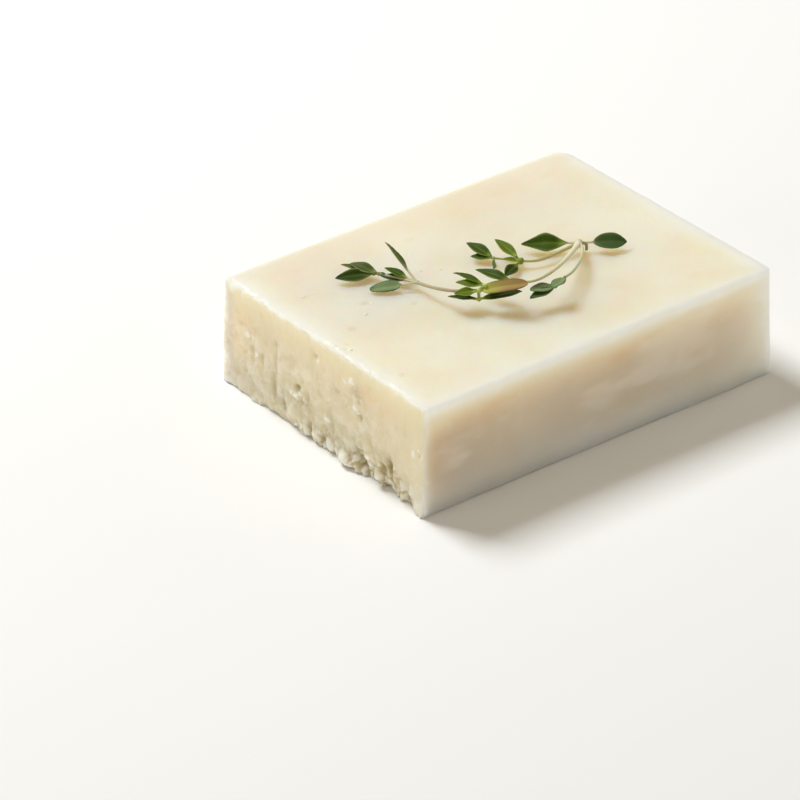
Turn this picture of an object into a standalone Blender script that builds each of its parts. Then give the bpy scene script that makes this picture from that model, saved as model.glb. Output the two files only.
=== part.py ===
"""A cut block of tulum cheese with a sprig of thyme lying on its top.

The block stands on its flat underside at z = 0, centred on the origin.  Its long side runs
along X, and the crumbly cut end faces -X.  The sprig rests on the top and is one solid of
stems and leaves.
"""

import itertools
import math
from typing import NamedTuple

import bmesh
import bpy
import numpy as np
from mathutils import Matrix, Vector

MM = 0.001

# ---- The block: plan corners of the top and of the underside, and its edges ----
BLOCK_HEIGHT = 27.7 * MM
HALF_LENGTH = 50.6 * MM
HALF_WIDTH = 38.0 * MM
# How far each corner stands out (+) or in (-) from the plain box, in mm along X and Y,
# keyed by (end, side, level): the cut end is -1, the smooth near side is -1, the top is +1.
CORNER_SHIFT = {
    (-1, 1, 1): (0.1, -1.0),
    (-1, -1, 1): (0.4, 0.4),
    (1, -1, 1): (0.4, 1.0),
    (1, 1, 1): (-0.6, -0.5),
    (-1, 1, -1): (-0.5, 0.5),
    (-1, -1, -1): (-1.0, 0.1),
    (1, -1, -1): (0.8, -0.5),
    (1, 1, -1): (0.7, 0.4),
}
EDGE_RADIUS = 1.1 * MM
PLAN_RADIUS = {(-1, -1): 1.0 * MM, (-1, 1): 1.2 * MM, (1, -1): 1.4 * MM, (1, 1): 4.6 * MM}
GRID_STEP = 0.85 * MM
EDGE_STEPS = 3
BLOCK_TRIANGLES = 8200

# ---- Relief of the cut end ----
# Crumbs torn out (+) and left standing (-): place along Y, height, half width, half height,
# depth, all in mm.
CRUMBS = (
    (30.0, 18.4, 1.0, 0.6, 0.35),
    (27.2, 16.8, 0.9, 0.7, -0.35),
    (25.6, 13.0, 0.7, 2.4, 0.25),
    (22.4, 12.8, 0.9, 1.1, 0.5),
    (24.3, 12.0, 0.7, 3.0, -0.25),
    (17.2, 14.5, 0.8, 3.4, 0.35),
    (17.6, 7.5, 0.9, 3.0, 0.6),
    (15.4, 12.5, 0.8, 3.6, -0.3),
    (17.1, 19.2, 0.8, 1.0, 0.25),
    (8.8, 11.7, 1.5, 0.8, 1.0),
    (9.6, 9.8, 1.8, 0.8, -0.6),
    (14.3, 4.2, 0.9, 3.6, 0.8),
    (9.9, 5.5, 2.2, 3.0, -0.5),
    (2.1, 22.8, 0.8, 0.7, 0.5),
    (0.9, 22.2, 0.6, 0.6, -0.3),
    (-6.4, 17.8, 0.8, 0.7, 0.4),
    (-10.6, 22.2, 2.6, 0.5, -0.35),
    (-12.3, 20.9, 0.9, 1.0, 0.5),
    (-12.9, 16.6, 0.9, 1.1, -0.55),
    (-14.4, 14.9, 1.0, 0.9, 0.6),
    (-2.9, 9.1, 0.8, 2.0, -0.35),
    (-4.8, 7.5, 0.8, 2.6, 0.4),
    (-12.6, 8.6, 0.9, 1.2, 0.3),
    (6.4, 2.6, 1.2, 1.6, -0.5),
    (4.2, 2.6, 0.8, 2.4, 0.8),
    (2.4, 2.0, 1.0, 1.6, -0.5),
    (-1.0, 2.4, 1.0, 2.4, 0.6),
    (-8.8, 2.0, 1.7, 1.9, -1.3),
    (-11.6, 1.4, 1.8, 1.5, -1.5),
    (-15.0, 3.9, 0.9, 2.4, 1.5),
    (-18.3, 5.8, 1.3, 1.4, -0.6),
    (-20.5, 2.4, 1.5, 1.6, -1.1),
    (-23.0, 5.0, 0.8, 2.0, 0.8),
    (-25.2, 6.8, 1.0, 2.6, 1.4),
    (-27.2, 4.6, 0.8, 2.4, -0.4),
    (-29.0, 2.2, 0.7, 3.4, -0.5),
    (-31.2, 2.0, 1.4, 2.2, 0.5),
    (-35.9, 15.8, 0.7, 1.1, 0.4),
    (-38.0, 9.0, 0.7, 0.8, 0.4),
)
CRUMB_REACH = 3.5 * MM          # how far behind the face a crumb's shift fades out
KNIFE_STREAK = 0.09 * MM        # upright streaks left by the cut
GRAIN = 0.22 * MM               # small crumbly grain, strongest low down
CRUMBLE_HEIGHT = 9.0 * MM       # height of the crumbled band along the bottom of the cut
CRUMBLE_DEPTH = 1.5 * MM
CRUMBLE_ROUGH = 0.9 * MM
CRUMBLE_REACH = 9.0 * MM
CRUMBLE_START = 34.0 * MM       # the corner on the smooth side keeps its foot
SIDE_WAVE = 0.25 * MM
RIM_CHIP = 0.5 * MM             # nicks along the top edge of the cut

# ---- The sprig: where its leaves sit, in mm: X, Y, height over the cheese, knob radius ----
JOINTS = {
    "tip": (-24.2, 14.8, 1.4, 0.45),
    "tip_pair": (-23.5, 13.8, 1.6, 0.45),
    "left": (-19.4, 4.9, 1.9, 0.55),
    "mid": (-13.9, -10.6, 4.9, 0.6),
    "crown": (-12.5, -11.0, 5.9, 0.5),
    "foot": (-14.2, -11.0, 3.0, 0.55),
    "hidden": (-5.7, -13.8, 5.3, 0.5),
    "fork": (20.9, -3.9, 2.2, 0.8),
    "branch": (5.7, -1.4, 1.6, 0.8),
    "twig": (1.7, 3.6, 1.5, 0.4),
    "hook": (4.9, -18.0, 5.0, 0.4),
    "hook_end": (1.5, -19.0, 4.3, 0.4),
}


class Stem(NamedTuple):
    """A stem: radii at its two ends in mm, and joints or free points along it."""

    start_radius: float
    end_radius: float
    route: tuple


STEMS = (
    Stem(0.34, 0.45, (
        "tip", "tip_pair", "left", (-19.2, -0.4, 3.0), (-17.4, -6.0, 4.0), "mid", "hidden",
        (-2.2, -16.1, 5.9), (2.2, -15.8, 6.1), (7.5, -13.5, 5.6), (14.3, -9.1, 4.2), "fork",
    )),
    Stem(0.45, 0.28, (
        "fork", (15.4, -3.9, 1.8), (10.9, -3.8, 1.6), (8.4, -3.2, 1.5), "branch", "twig",
    )),
    Stem(0.42, 0.28, (
        "fork", (18.9, -7.5, 2.8), (15.7, -11.0, 3.4), (12.2, -13.9, 3.9), (8.3, -16.5, 4.5),
        "hook", "hook_end",
    )),
    Stem(0.45, 0.42, ("crown", "mid", "foot")),
    Stem(0.4, 0.3, ("fork", (22.0, -5.0, 2.0), (21.8, -5.6, 0.6))),
)


class Leaf(NamedTuple):
    """A leaf: its heading, rise and roll in degrees, then stalk, length and width in mm.

    The arch is a share of the length, and a lower taper makes a blunter outline.
    """

    heading: float
    rise: float
    roll: float
    stalk: float
    length: float
    width: float
    arch: float = 0.0
    taper: float = 0.8


TUFTS = {
    "tip": (
        Leaf(154, -1, -22, 0.6, 8.4, 3.7),
        Leaf(-60, 14, 0, 0.8, 2.2, 1.2),
    ),
    "tip_pair": (
        Leaf(115, 6, -12, 0.6, 6.9, 2.9, 0.03),
        Leaf(117, 1, -5, 2.9, 6.8, 2.0),
    ),
    "left": (
        Leaf(89, 23, 30, 4.3, 8.9, 2.7, 0.01),
        Leaf(147, -7, -22, 3.8, 6.9, 2.8, 0.0, 0.65),
        Leaf(110, 8, -5, 3.0, 5.9, 2.3, 0.02),
        Leaf(116, -3, -12, 3.2, 6.2, 2.5),
    ),
    "mid": (
        Leaf(152, -3, -15, 0.7, 5.0, 2.7),
        Leaf(-40, 11, 20, 0.7, 10.4, 3.8, 0.0, 0.4),
    ),
    "crown": (
        Leaf(111, 5, 0, 0.8, 7.7, 1.9, 0.06),
        Leaf(127, -1, -15, 0.8, 6.1, 2.3),
    ),
    "foot": (
        Leaf(138, 3, 5, 0.6, 6.5, 2.6),
        Leaf(-35, 5, 12, 0.9, 7.6, 2.7),
    ),
    "hidden": (
        Leaf(114, 5, -8, 1.7, 8.8, 3.0, 0.02),
        Leaf(115, -13, -5, 2.5, 3.5, 2.1),
    ),
    "branch": (
        Leaf(-160, -5, -15, 1.8, 5.2, 2.9),
        Leaf(94, 13, -10, 1.3, 7.7, 2.7, 0.02),
        Leaf(152, 14, 0, 0.5, 3.6, 1.9),
    ),
    "twig": (
        Leaf(102, 8, -12, 0.6, 7.5, 3.0, 0.02),
        Leaf(125, -4, -15, 0.5, 5.0, 2.3),
        Leaf(-126, -9, -40, 1.2, 2.7, 1.2),
    ),
    "fork": (
        Leaf(-31, -2, 28, 3.3, 7.9, 4.5, 0.0, 0.8),
        Leaf(144, -3, -28, 3.5, 9.3, 5.0, 0.0, 1.6),
    ),
    "hook": (
        Leaf(-161, -2, 5, 0.5, 4.8, 2.9, 0.0, 0.6),
    ),
    "hook_end": (
        Leaf(158, 1, -12, 0.5, 5.6, 2.9),
        Leaf(172, -9, -10, 0.7, 6.2, 2.5),
    ),
}
LEAF_THICKNESS = 0.4 * MM
LEAF_FOLD = 0.18                # how far the blade's edges rise above its midrib, per width
STALK_WIDTH = 0.55 * MM
BLADE_STEPS = 6
WIDE_LEAF = 3.5                 # a wider leaf, in mm, has four strips across and not two
STEM_STEPS = 2

CHEESE_COLOR = (0.83, 0.74, 0.52, 1.0)
CHEESE_ROUGHNESS = 0.55
THYME_COLOR = (0.10, 0.17, 0.05, 1.0)
THYME_ROUGHNESS = 0.6


def clear_scene():
    """Remove every object of the open scene."""
    for old in list(bpy.data.objects):
        bpy.data.objects.remove(old, do_unlink=True)


def make_material(name, color, roughness):
    """Return a Principled material of one colour, without metal."""
    material = bpy.data.materials.new(name)
    material.use_nodes = True
    shader = material.node_tree.nodes["Principled BSDF"]
    shader.inputs["Base Color"].default_value = color
    shader.inputs["Roughness"].default_value = roughness
    shader.inputs["Metallic"].default_value = 0.0
    material.diffuse_color = color
    return material


def link_mesh(name, mesh):
    """Put a mesh in the scene as an object of that name."""
    piece = bpy.data.objects.new(name, mesh)
    bpy.context.collection.objects.link(piece)
    return piece


def smoothstep(low, high, value):
    """Ease from 0 at low to 1 at high."""
    t = np.clip((value - low) / (high - low), 0.0, 1.0)
    return t * t * (3.0 - 2.0 * t)


# ---------------------------------------------------------------- noise


def lattice_value(cells, seed):
    """Mix whole lattice coordinates into one repeatable number between -1 and 1 each."""
    mixed = cells[..., 0] * 73856093 ^ cells[..., 1] * 19349663 ^ cells[..., 2] * 83492791
    mixed = (mixed + seed * 1013904223) & 0xFFFFFFFF
    mixed = ((mixed ^ (mixed >> 15)) * 2246822519) & 0xFFFFFFFF
    mixed = ((mixed ^ (mixed >> 13)) * 3266489917) & 0xFFFFFFFF
    mixed = mixed ^ (mixed >> 16)
    return (mixed & 0xFFFF) / 32767.5 - 1.0


def noise(points, cell, seed):
    """Smooth random height of -1 to 1 whose bumps are about one cell wide."""
    place = points / np.asarray(cell)
    base = np.floor(place).astype(np.int64)
    t = place - base
    t = t * t * t * (t * (6.0 * t - 15.0) + 10.0)
    total = np.zeros(points.shape[:-1])
    for corner in itertools.product((0, 1), repeat=3):
        weight = np.prod(np.where(np.array(corner) == 1, t, 1.0 - t), axis=-1)
        total += weight * lattice_value(base + np.array(corner), seed)
    return total


def rough(points, cell, seed, octaves=3):
    """Add octaves of noise, each half as wide and half as high as the last."""
    total = np.zeros(points.shape[:-1])
    for octave in range(octaves):
        total += noise(points, np.asarray(cell) / 2**octave, seed + octave) / 2**octave
    return total


# ---------------------------------------------------------------- the block


def stations(half):
    """Places from -half to half, close together in the rounded edge and even between."""
    edge = np.linspace(0.0, EDGE_RADIUS, EDGE_STEPS + 1)[:-1]
    inner = half - EDGE_RADIUS
    count = int(round(2.0 * inner / GRID_STEP))
    middle = np.linspace(-inner, inner, count + 1)
    return np.concatenate([-half + edge, middle, (half - edge)[::-1]])


def box_surface(x_places, y_places, z_places):
    """Build the six gridded faces of a box as one closed mesh of points and quads."""
    counts = (len(x_places), len(y_places), len(z_places))
    index = -np.ones(counts, dtype=np.int64)
    on_skin = np.ones(counts, dtype=bool)
    on_skin[1:-1, 1:-1, 1:-1] = False
    index[on_skin] = np.arange(on_skin.sum())
    where = np.argwhere(on_skin)
    points = np.stack(
        [x_places[where[:, 0]], y_places[where[:, 1]], z_places[where[:, 2]]], axis=1
    )
    faces = []
    for axis in range(3):
        for end in (0, -1):
            sheet = np.take(index, end, axis=axis)
            quads = np.stack(
                [sheet[:-1, :-1], sheet[1:, :-1], sheet[1:, 1:], sheet[:-1, 1:]], axis=-1
            ).reshape(-1, 4)
            outward = (end == -1) != (axis == 1)
            faces.append(quads if outward else quads[:, ::-1])
    return points, np.concatenate(faces)


def round_edges(points, half):
    """Round the box's edges; return the new points and the directions they face."""
    inner = np.clip(points, EDGE_RADIUS - half, half - EDGE_RADIUS)
    offset = points - inner
    facing = offset / np.linalg.norm(offset, axis=1, keepdims=True)
    return inner + facing * EDGE_RADIUS, facing


def round_plan(points):
    """Round each upright corner in plan, squares about its centre turning to circles."""
    points = points.copy()
    for (end, side), radius in PLAN_RADIUS.items():
        centre = np.array([end * (HALF_LENGTH - radius), side * (HALF_WIDTH - radius)])
        outward = (points[:, :2] - centre) * (end, side)
        inside = (outward > 0.0).all(axis=1)
        reach = outward[inside]
        scale = reach.max(axis=1) / np.linalg.norm(reach, axis=1)
        points[inside, :2] = centre + reach * scale[:, None] * (end, side)
    return points


def lean(points):
    """Move the eight corners by CORNER_SHIFT and everything between in proportion."""
    share = {
        0: (1.0 + points[:, 0] / HALF_LENGTH) / 2.0,
        1: (1.0 + points[:, 1] / HALF_WIDTH) / 2.0,
        2: points[:, 2] / BLOCK_HEIGHT,
    }
    moved = points.copy()
    for signs, shift in CORNER_SHIFT.items():
        weight = np.ones(len(points))
        for axis, sign in enumerate(signs):
            weight *= share[axis] if sign > 0 else 1.0 - share[axis]
        moved[:, :2] += weight[:, None] * np.array(shift) * MM
    return moved


def cut_relief(points):
    """How far the cut end is worn in at each point: torn crumbs, streaks and grain."""
    y, z = points[:, 1], points[:, 2]
    flat = points * (0.0, 1.0, 1.0)
    low = smoothstep(CRUMBLE_HEIGHT * 1.6, 2.0 * MM, z)
    depth = KNIFE_STREAK * rough(flat, (1.0, 1.4 * MM, 11.0 * MM), 11, 2)
    depth += GRAIN * (0.5 + low) * rough(flat, (1.0, 2.6 * MM, 2.4 * MM), 23, 2)
    for place, height, half_width, half_height, crumb in CRUMBS:
        away = ((y / MM - place) / half_width) ** 2 + ((z / MM - height) / half_height) ** 2
        depth += crumb * MM * np.exp(-away)
    return depth


def crumble_relief(points):
    """How far the foot of the cut end has crumbled away, in a ragged band."""
    y, z = points[:, 1], points[:, 2]
    along = points * (0.0, 1.0, 0.4)
    ragged = rough(along, 4.6 * MM, 41, 3)
    keep = smoothstep(-CRUMBLE_START - 2.0 * MM, -CRUMBLE_START + 5.0 * MM, y)
    band = smoothstep(CRUMBLE_HEIGHT, 0.0, z)
    side = 0.35 + 0.65 * smoothstep(6.0 * MM, -14.0 * MM, y)
    return keep * band * side * (CRUMBLE_DEPTH + CRUMBLE_ROUGH * ragged)


def weather(points, facing):
    """Shape the box into the block: relief on the cut, soft waves on the other sides."""
    moved = points.copy()
    behind = points[:, 0] + HALF_LENGTH
    moved[:, 0] += cut_relief(points) * smoothstep(CRUMB_REACH, 0.0, behind)
    moved[:, 0] += crumble_relief(points) * smoothstep(CRUMBLE_REACH, 0.0, behind)
    upright = 1.0 - smoothstep(0.5, 1.0, np.abs(facing[:, 2]))
    wave = SIDE_WAVE * (rough(points, 17.0 * MM, 61, 3) - 0.3)
    moved[:, :2] += facing[:, :2] * (wave * upright)[:, None]
    rim = np.clip(-4.0 * facing[:, 0] * np.clip(facing[:, 2], 0.0, 1.0), 0.0, 1.0)
    nick = RIM_CHIP * rim * smoothstep(0.0, 0.9, rough(points, 2.2 * MM, 71, 2))
    moved -= facing * nick[:, None]
    dip = 0.12 * MM * smoothstep(0.6, 1.0, facing[:, 2])
    moved[:, 2] -= dip * (1.0 + rough(points, 14.0 * MM, 83, 2)) / 2.0
    return moved


def make_block():
    """Build the cheese block as one closed solid on its flat underside."""
    half = np.array([HALF_LENGTH, HALF_WIDTH, BLOCK_HEIGHT / 2.0])
    points, faces = box_surface(*(stations(side) for side in half))
    points, facing = round_edges(points, half)
    points[:, 2] += half[2]
    points = weather(lean(round_plan(points)), facing)
    mesh = bpy.data.meshes.new("cheese_block")
    mesh.from_pydata(points.tolist(), [], faces.tolist())
    block = link_mesh("cheese_block", mesh)
    thin = block.modifiers.new("Fewer faces where flat", "DECIMATE")
    thin.decimate_type = "COLLAPSE"
    thin.use_collapse_triangulate = True
    thin.ratio = BLOCK_TRIANGLES / (2.0 * len(faces))
    mesh.shade_smooth()
    mesh.materials.append(make_material("tulum_cheese", CHEESE_COLOR, CHEESE_ROUGHNESS))
    return block


# ---------------------------------------------------------------- the sprig


def sprig_point(place):
    """World position of a joint's name or of a free point of the sprig."""
    x, y, height = JOINTS[place][:3] if isinstance(place, str) else place
    return Vector((x * MM, y * MM, BLOCK_HEIGHT + height * MM))


def through(route):
    """Sample a smooth curve (Catmull-Rom) through the points of a stem's route."""
    knots = [sprig_point(place) for place in route]
    knots = [2 * knots[0] - knots[1], *knots, 2 * knots[-1] - knots[-2]]
    samples = []
    for a, b, c, d in zip(knots, knots[1:], knots[2:], knots[3:]):
        for step in range(STEM_STEPS):
            t = step / STEM_STEPS
            samples.append(0.5 * (
                2.0 * b + (c - a) * t + (2.0 * a - 5.0 * b + 4.0 * c - d) * t**2
                + (3.0 * b - a - 3.0 * c + d) * t**3
            ))
    samples.append(knots[-2])
    return samples


def make_stem(name, stem):
    """Sweep a tapering round stem along its route and return it as a mesh object."""
    curve = bpy.data.curves.new(name, "CURVE")
    curve.dimensions = "3D"
    curve.bevel_depth = MM
    curve.bevel_resolution = 1
    curve.use_fill_caps = True
    points = through(stem.route)
    spline = curve.splines.new("POLY")
    spline.points.add(len(points) - 1)
    for number, (knot, point) in enumerate(zip(spline.points, points)):
        share = number / (len(points) - 1)
        knot.co = (*point, 1.0)
        knot.radius = stem.start_radius + (stem.end_radius - stem.start_radius) * share
    guide = bpy.data.objects.new(name, curve)
    bpy.context.collection.objects.link(guide)
    mesh = bpy.data.meshes.new_from_object(
        guide.evaluated_get(bpy.context.evaluated_depsgraph_get())
    )
    bpy.data.objects.remove(guide, do_unlink=True)
    return link_mesh(name, mesh)


def make_joint(name, place):
    """Put a small knob where leaves and stems meet."""
    mesh = bpy.data.meshes.new(name)
    shape = bmesh.new()
    bmesh.ops.create_icosphere(
        shape,
        subdivisions=1,
        radius=JOINTS[place][3] * MM,
        matrix=Matrix.Translation(sprig_point(place)),
    )
    shape.to_mesh(mesh)
    shape.free()
    return link_mesh(name, mesh)


def leaf_sheet(joint, leaf):
    """Points of the leaf's middle sheet, from its joint along the stalk to the tip.

    The blade's half width follows sin(pi * t ** 0.9) ** taper along its length, its edges
    rise by LEAF_FOLD of its width from the midrib, and the midrib arches by a parabola.
    """
    turn = (
        Matrix.Rotation(math.radians(leaf.heading), 3, "Z")
        @ Matrix.Rotation(math.radians(-leaf.rise), 3, "Y")
        @ Matrix.Rotation(math.radians(leaf.roll), 3, "X")
    )
    half_strips = 2 if leaf.width > WIDE_LEAF else 1
    across = np.linspace(-1.0, 1.0, 2 * half_strips + 1)
    t = np.linspace(0.0, 1.0, BLADE_STEPS + 1)
    half_width = leaf.width * MM / 2.0 * np.clip(np.sin(np.pi * t**0.9), 0.0, 1.0) ** leaf.taper
    half_width = np.maximum(half_width, STALK_WIDTH / 2.0)
    half_width[-1] = STALK_WIDTH / 3.0
    along = np.concatenate([[0.0], leaf.stalk + leaf.length * t]) * MM
    rise = np.concatenate([[0.0], 4.0 * leaf.arch * leaf.length * MM * t * (1.0 - t)])
    half_width = np.concatenate([[STALK_WIDTH / 2.0], half_width])
    wave = 0.08 * np.sin(2.0 * np.pi * np.linspace(0.0, 1.5, len(along)))
    x = np.broadcast_to(along[:, None], (len(along), len(across)))
    y = half_width[:, None] * across[None, :]
    z = rise[:, None] + np.abs(y) * LEAF_FOLD * 2.0 + y * wave[:, None]
    local = np.stack([x, y, z], axis=-1)
    return local @ np.array(turn).T + np.array(sprig_point(joint))


def make_leaf(name, joint, leaf):
    """Make one leaf: a sheet of triangles, thickened alike on both faces."""
    sheet = leaf_sheet(joint, leaf)
    rows, columns = sheet.shape[:2]
    index = np.arange(rows * columns).reshape(rows, columns)
    lower = np.stack([index[:-1, :-1], index[1:, :-1], index[1:, 1:]], axis=-1)
    upper = np.stack([index[:-1, :-1], index[1:, 1:], index[:-1, 1:]], axis=-1)
    faces = np.concatenate([lower.reshape(-1, 3), upper.reshape(-1, 3)])
    mesh = bpy.data.meshes.new(name)
    mesh.from_pydata(sheet.reshape(-1, 3).tolist(), [], faces.tolist())
    blade = link_mesh(name, mesh)
    thick = blade.modifiers.new("Thickness", "SOLIDIFY")
    thick.thickness = LEAF_THICKNESS
    thick.offset = 0.0
    return blade


def keep_largest_body(mesh):
    """Drop the scraps and filled slivers that joining leaves beside the one large body."""
    shape = bmesh.new()
    shape.from_mesh(mesh)
    waiting = set(shape.faces)
    bodies = []
    while waiting:
        edge_of_body = [waiting.pop()]
        body = list(edge_of_body)
        while edge_of_body:
            face = edge_of_body.pop()
            near = {other for edge in face.edges for other in edge.link_faces} & waiting
            waiting -= near
            edge_of_body += near
            body += near
        bodies.append(body)
    bodies.sort(key=len)
    for body in bodies[:-1]:
        bmesh.ops.delete(shape, geom=body, context="FACES")
    shape.to_mesh(mesh)
    shape.free()


def make_sprig():
    """Join stems, joints and leaves into one solid."""
    stems = [make_stem(f"stem_{number}", stem) for number, stem in enumerate(STEMS)]
    pieces = [make_joint(f"joint_{name}", name) for name in JOINTS]
    for joint, leaves in TUFTS.items():
        pieces += [
            make_leaf(f"leaf_{joint}_{number}", joint, leaf)
            for number, leaf in enumerate(leaves)
        ]
    pieces += stems[1:]
    others = bpy.data.collections.new("sprig_pieces")
    bpy.context.scene.collection.children.link(others)
    for piece in pieces:
        bpy.context.collection.objects.unlink(piece)
        others.objects.link(piece)
    sprig = stems[0]
    sprig.name = "thyme_sprig"
    union = sprig.modifiers.new("Join", "BOOLEAN")
    union.operation = "UNION"
    union.solver = "EXACT"
    union.operand_type = "COLLECTION"
    union.collection = others
    bpy.context.view_layer.update()
    joined = bpy.data.meshes.new_from_object(
        sprig.evaluated_get(bpy.context.evaluated_depsgraph_get())
    )
    joined.name = "thyme_sprig"
    sprig.modifiers.remove(union)
    sprig.data = joined
    for piece in pieces:
        bpy.data.objects.remove(piece, do_unlink=True)
    bpy.data.collections.remove(others)
    keep_largest_body(joined)
    joined.shade_smooth()
    joined.set_sharp_from_angle(angle=math.radians(40.0))
    joined.materials.clear()
    joined.materials.append(make_material("thyme", THYME_COLOR, THYME_ROUGHNESS))
    return sprig


def main():
    """Build the block and the sprig."""
    clear_scene()
    make_block()
    make_sprig()


main()
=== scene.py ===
"""Dressed model of a block of tulum cheese with a sprig of thyme lying on its top.

The block stands on its underside at z = 0, centred on the origin, its long side along X.
Its crumbly cut end faces -X and its smooth near side faces -Y. Everything is in metres in
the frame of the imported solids, and each surface is a grid of points worked out with numpy.
"""

import functools
import itertools
import logging
import math
from dataclasses import dataclass, field
from enum import Enum, IntEnum

import bpy
import numpy as np
from mathutils import Matrix, Vector


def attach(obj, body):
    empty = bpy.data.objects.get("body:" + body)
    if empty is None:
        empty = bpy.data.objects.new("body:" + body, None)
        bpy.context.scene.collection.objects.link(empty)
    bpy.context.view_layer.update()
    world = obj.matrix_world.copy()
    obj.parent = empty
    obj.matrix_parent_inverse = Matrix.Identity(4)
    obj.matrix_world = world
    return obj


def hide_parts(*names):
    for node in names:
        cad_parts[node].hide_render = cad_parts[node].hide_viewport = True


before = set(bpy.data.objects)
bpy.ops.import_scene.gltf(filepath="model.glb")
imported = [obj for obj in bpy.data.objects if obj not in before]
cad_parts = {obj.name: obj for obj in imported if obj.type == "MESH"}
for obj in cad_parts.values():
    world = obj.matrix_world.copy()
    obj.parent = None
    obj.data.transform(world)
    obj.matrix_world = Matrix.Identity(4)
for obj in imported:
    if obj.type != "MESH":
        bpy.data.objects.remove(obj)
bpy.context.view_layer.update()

MM = 0.001

logging.basicConfig(level=logging.INFO, format="%(levelname)s %(message)s")
log = logging.getLogger("tulum_cheese")

Array = np.ndarray
Color = tuple[float, float, float]
# Width of a bump, one for all axes or one for each.
Cell = float | tuple[float, float, float]
# Two places on a face and two half widths there, in mm.
Patch = tuple[float, float, float, float]
# A joint's name, or X, Y and height over the cheese in mm.
Place = str | tuple[float, float, float]
# What a shader's socket takes: a link from another socket, or a value of its own.
Value = bpy.types.NodeSocket | float | tuple[float, float, float, float]

# ---- The block: the same named sizes as its solid, in metres unless stated ----
BLOCK_HEIGHT = 27.7 * MM
HALF_LENGTH = 50.6 * MM
HALF_WIDTH = 38.0 * MM
HALF_SIZE = np.array([HALF_LENGTH, HALF_WIDTH, BLOCK_HEIGHT / 2.0])
# How far each corner stands out from the plain box, in mm along X and Y, keyed by
# (end, side, level): the cut end is -1, the smooth near side is -1, the top is +1.
CORNER_SHIFT = {
    (-1, 1, 1): (0.1, -1.0),
    (-1, -1, 1): (0.4, 0.4),
    (1, -1, 1): (0.4, 1.0),
    (1, 1, 1): (-0.6, -0.5),
    (-1, 1, -1): (-0.5, 0.5),
    (-1, -1, -1): (-1.0, 0.1),
    (1, -1, -1): (0.8, -0.5),
    (1, 1, -1): (0.7, 0.4),
}
# Radius of each upright corner in plan, keyed by (end, side).
PLAN_RADIUS = {(-1, -1): 1.0 * MM, (-1, 1): 1.2 * MM, (1, -1): 1.4 * MM, (1, 1): 4.6 * MM}
# Flattens a point into the plane of the cut end, so that relief has no depth of its own.
IN_CUT = (0.0, 1.0, 1.0)

# Crumbs torn out (+) and left standing (-) on the cut end: place along Y, height, half
# width, half height, depth, all in mm.
CRUMBS = (
    (30.0, 18.4, 1.0, 0.6, 0.35),
    (27.2, 16.8, 0.9, 0.7, -0.35),
    (25.6, 13.0, 0.7, 2.4, 0.25),
    (22.4, 12.8, 0.9, 1.1, 0.5),
    (24.3, 12.0, 0.7, 3.0, -0.25),
    (17.2, 14.5, 0.8, 3.4, 0.35),
    (17.6, 7.5, 0.9, 3.0, 0.6),
    (15.4, 12.5, 0.8, 3.6, -0.3),
    (17.1, 19.2, 0.8, 1.0, 0.25),
    (8.8, 11.7, 1.1, 0.7, 0.8),
    (9.6, 9.8, 1.8, 0.8, -0.6),
    (14.3, 4.2, 0.9, 3.6, 0.8),
    (9.9, 5.5, 2.2, 3.0, -0.5),
    (2.1, 22.8, 0.8, 0.7, 0.5),
    (0.9, 22.2, 0.6, 0.6, -0.3),
    (-6.4, 17.8, 0.8, 0.7, 0.4),
    (-10.6, 22.2, 2.6, 0.5, -0.35),
    (-12.3, 20.9, 0.9, 1.0, 0.5),
    (-12.9, 16.6, 0.9, 1.1, -0.55),
    (-14.4, 14.9, 1.0, 0.9, 0.6),
    (-2.9, 9.1, 0.8, 2.0, -0.35),
    (-4.8, 7.5, 0.8, 2.6, 0.4),
    (-12.6, 8.6, 0.9, 1.2, 0.3),
    (6.4, 2.6, 1.2, 1.6, -0.5),
    (4.2, 2.6, 0.8, 2.4, 0.8),
    (2.4, 2.0, 1.0, 1.6, -0.5),
    (-1.0, 2.4, 1.0, 2.4, 0.6),
    (-8.8, 2.0, 1.7, 1.9, -1.3),
    (-11.6, 1.4, 1.8, 1.5, -1.5),
    (-15.0, 3.9, 0.9, 2.4, 1.5),
    (-18.3, 5.8, 1.3, 1.4, -0.6),
    (-20.5, 2.4, 1.5, 1.6, -1.1),
    (-23.0, 5.0, 0.8, 2.0, 0.8),
    (-25.2, 6.8, 1.0, 2.6, 1.4),
    (-27.2, 4.6, 0.8, 2.4, -0.4),
    (-29.0, 2.2, 0.7, 3.4, -0.5),
    (-31.2, 2.0, 1.4, 2.2, 0.5),
    (-35.9, 15.8, 0.7, 1.1, 0.4),
    (-38.0, 9.0, 0.7, 0.8, 0.4),
)
# Bright crumbs on the cut end, whitened partly as their own colour and partly as painted highlight,
# in mm: place along Y, height, size, how far each stands out.
BRIGHT_CRUMBS = (
    (27.2, 16.8, 1.0, 0.20),
    (25.7, 16.4, 0.6, 0.12),
    (24.2, 12.9, 0.9, 0.10),
    (10.7, 9.7, 1.0, 0.25),
    (9.0, 9.4, 1.1, 0.30),
    (7.4, 10.4, 0.9, 0.20),
    (1.0, 22.2, 0.7, 0.15),
    (-8.6, 21.2, 0.7, 0.10),
    (-11.4, 22.4, 1.0, 0.15),
    (-12.9, 16.6, 0.9, 0.25),
    (-13.4, 15.6, 0.5, 0.15),
    (10.3, 0.5, 0.7, 0.30),
    (-2.9, 9.1, 0.8, 0.10),
    (-8.6, 2.2, 1.6, 0.30),
    (-11.6, 0.9, 1.4, 0.30),
    (-18.3, 6.2, 0.9, 0.15),
    (-20.3, 2.7, 1.5, 0.30),
    (-29.0, 3.4, 0.7, 0.10),
    (-36.2, 16.2, 0.7, 0.15),
    (-33.6, 14.8, 0.9, 0.10),
    (-38.0, 8.9, 0.7, 0.15),
)
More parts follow.
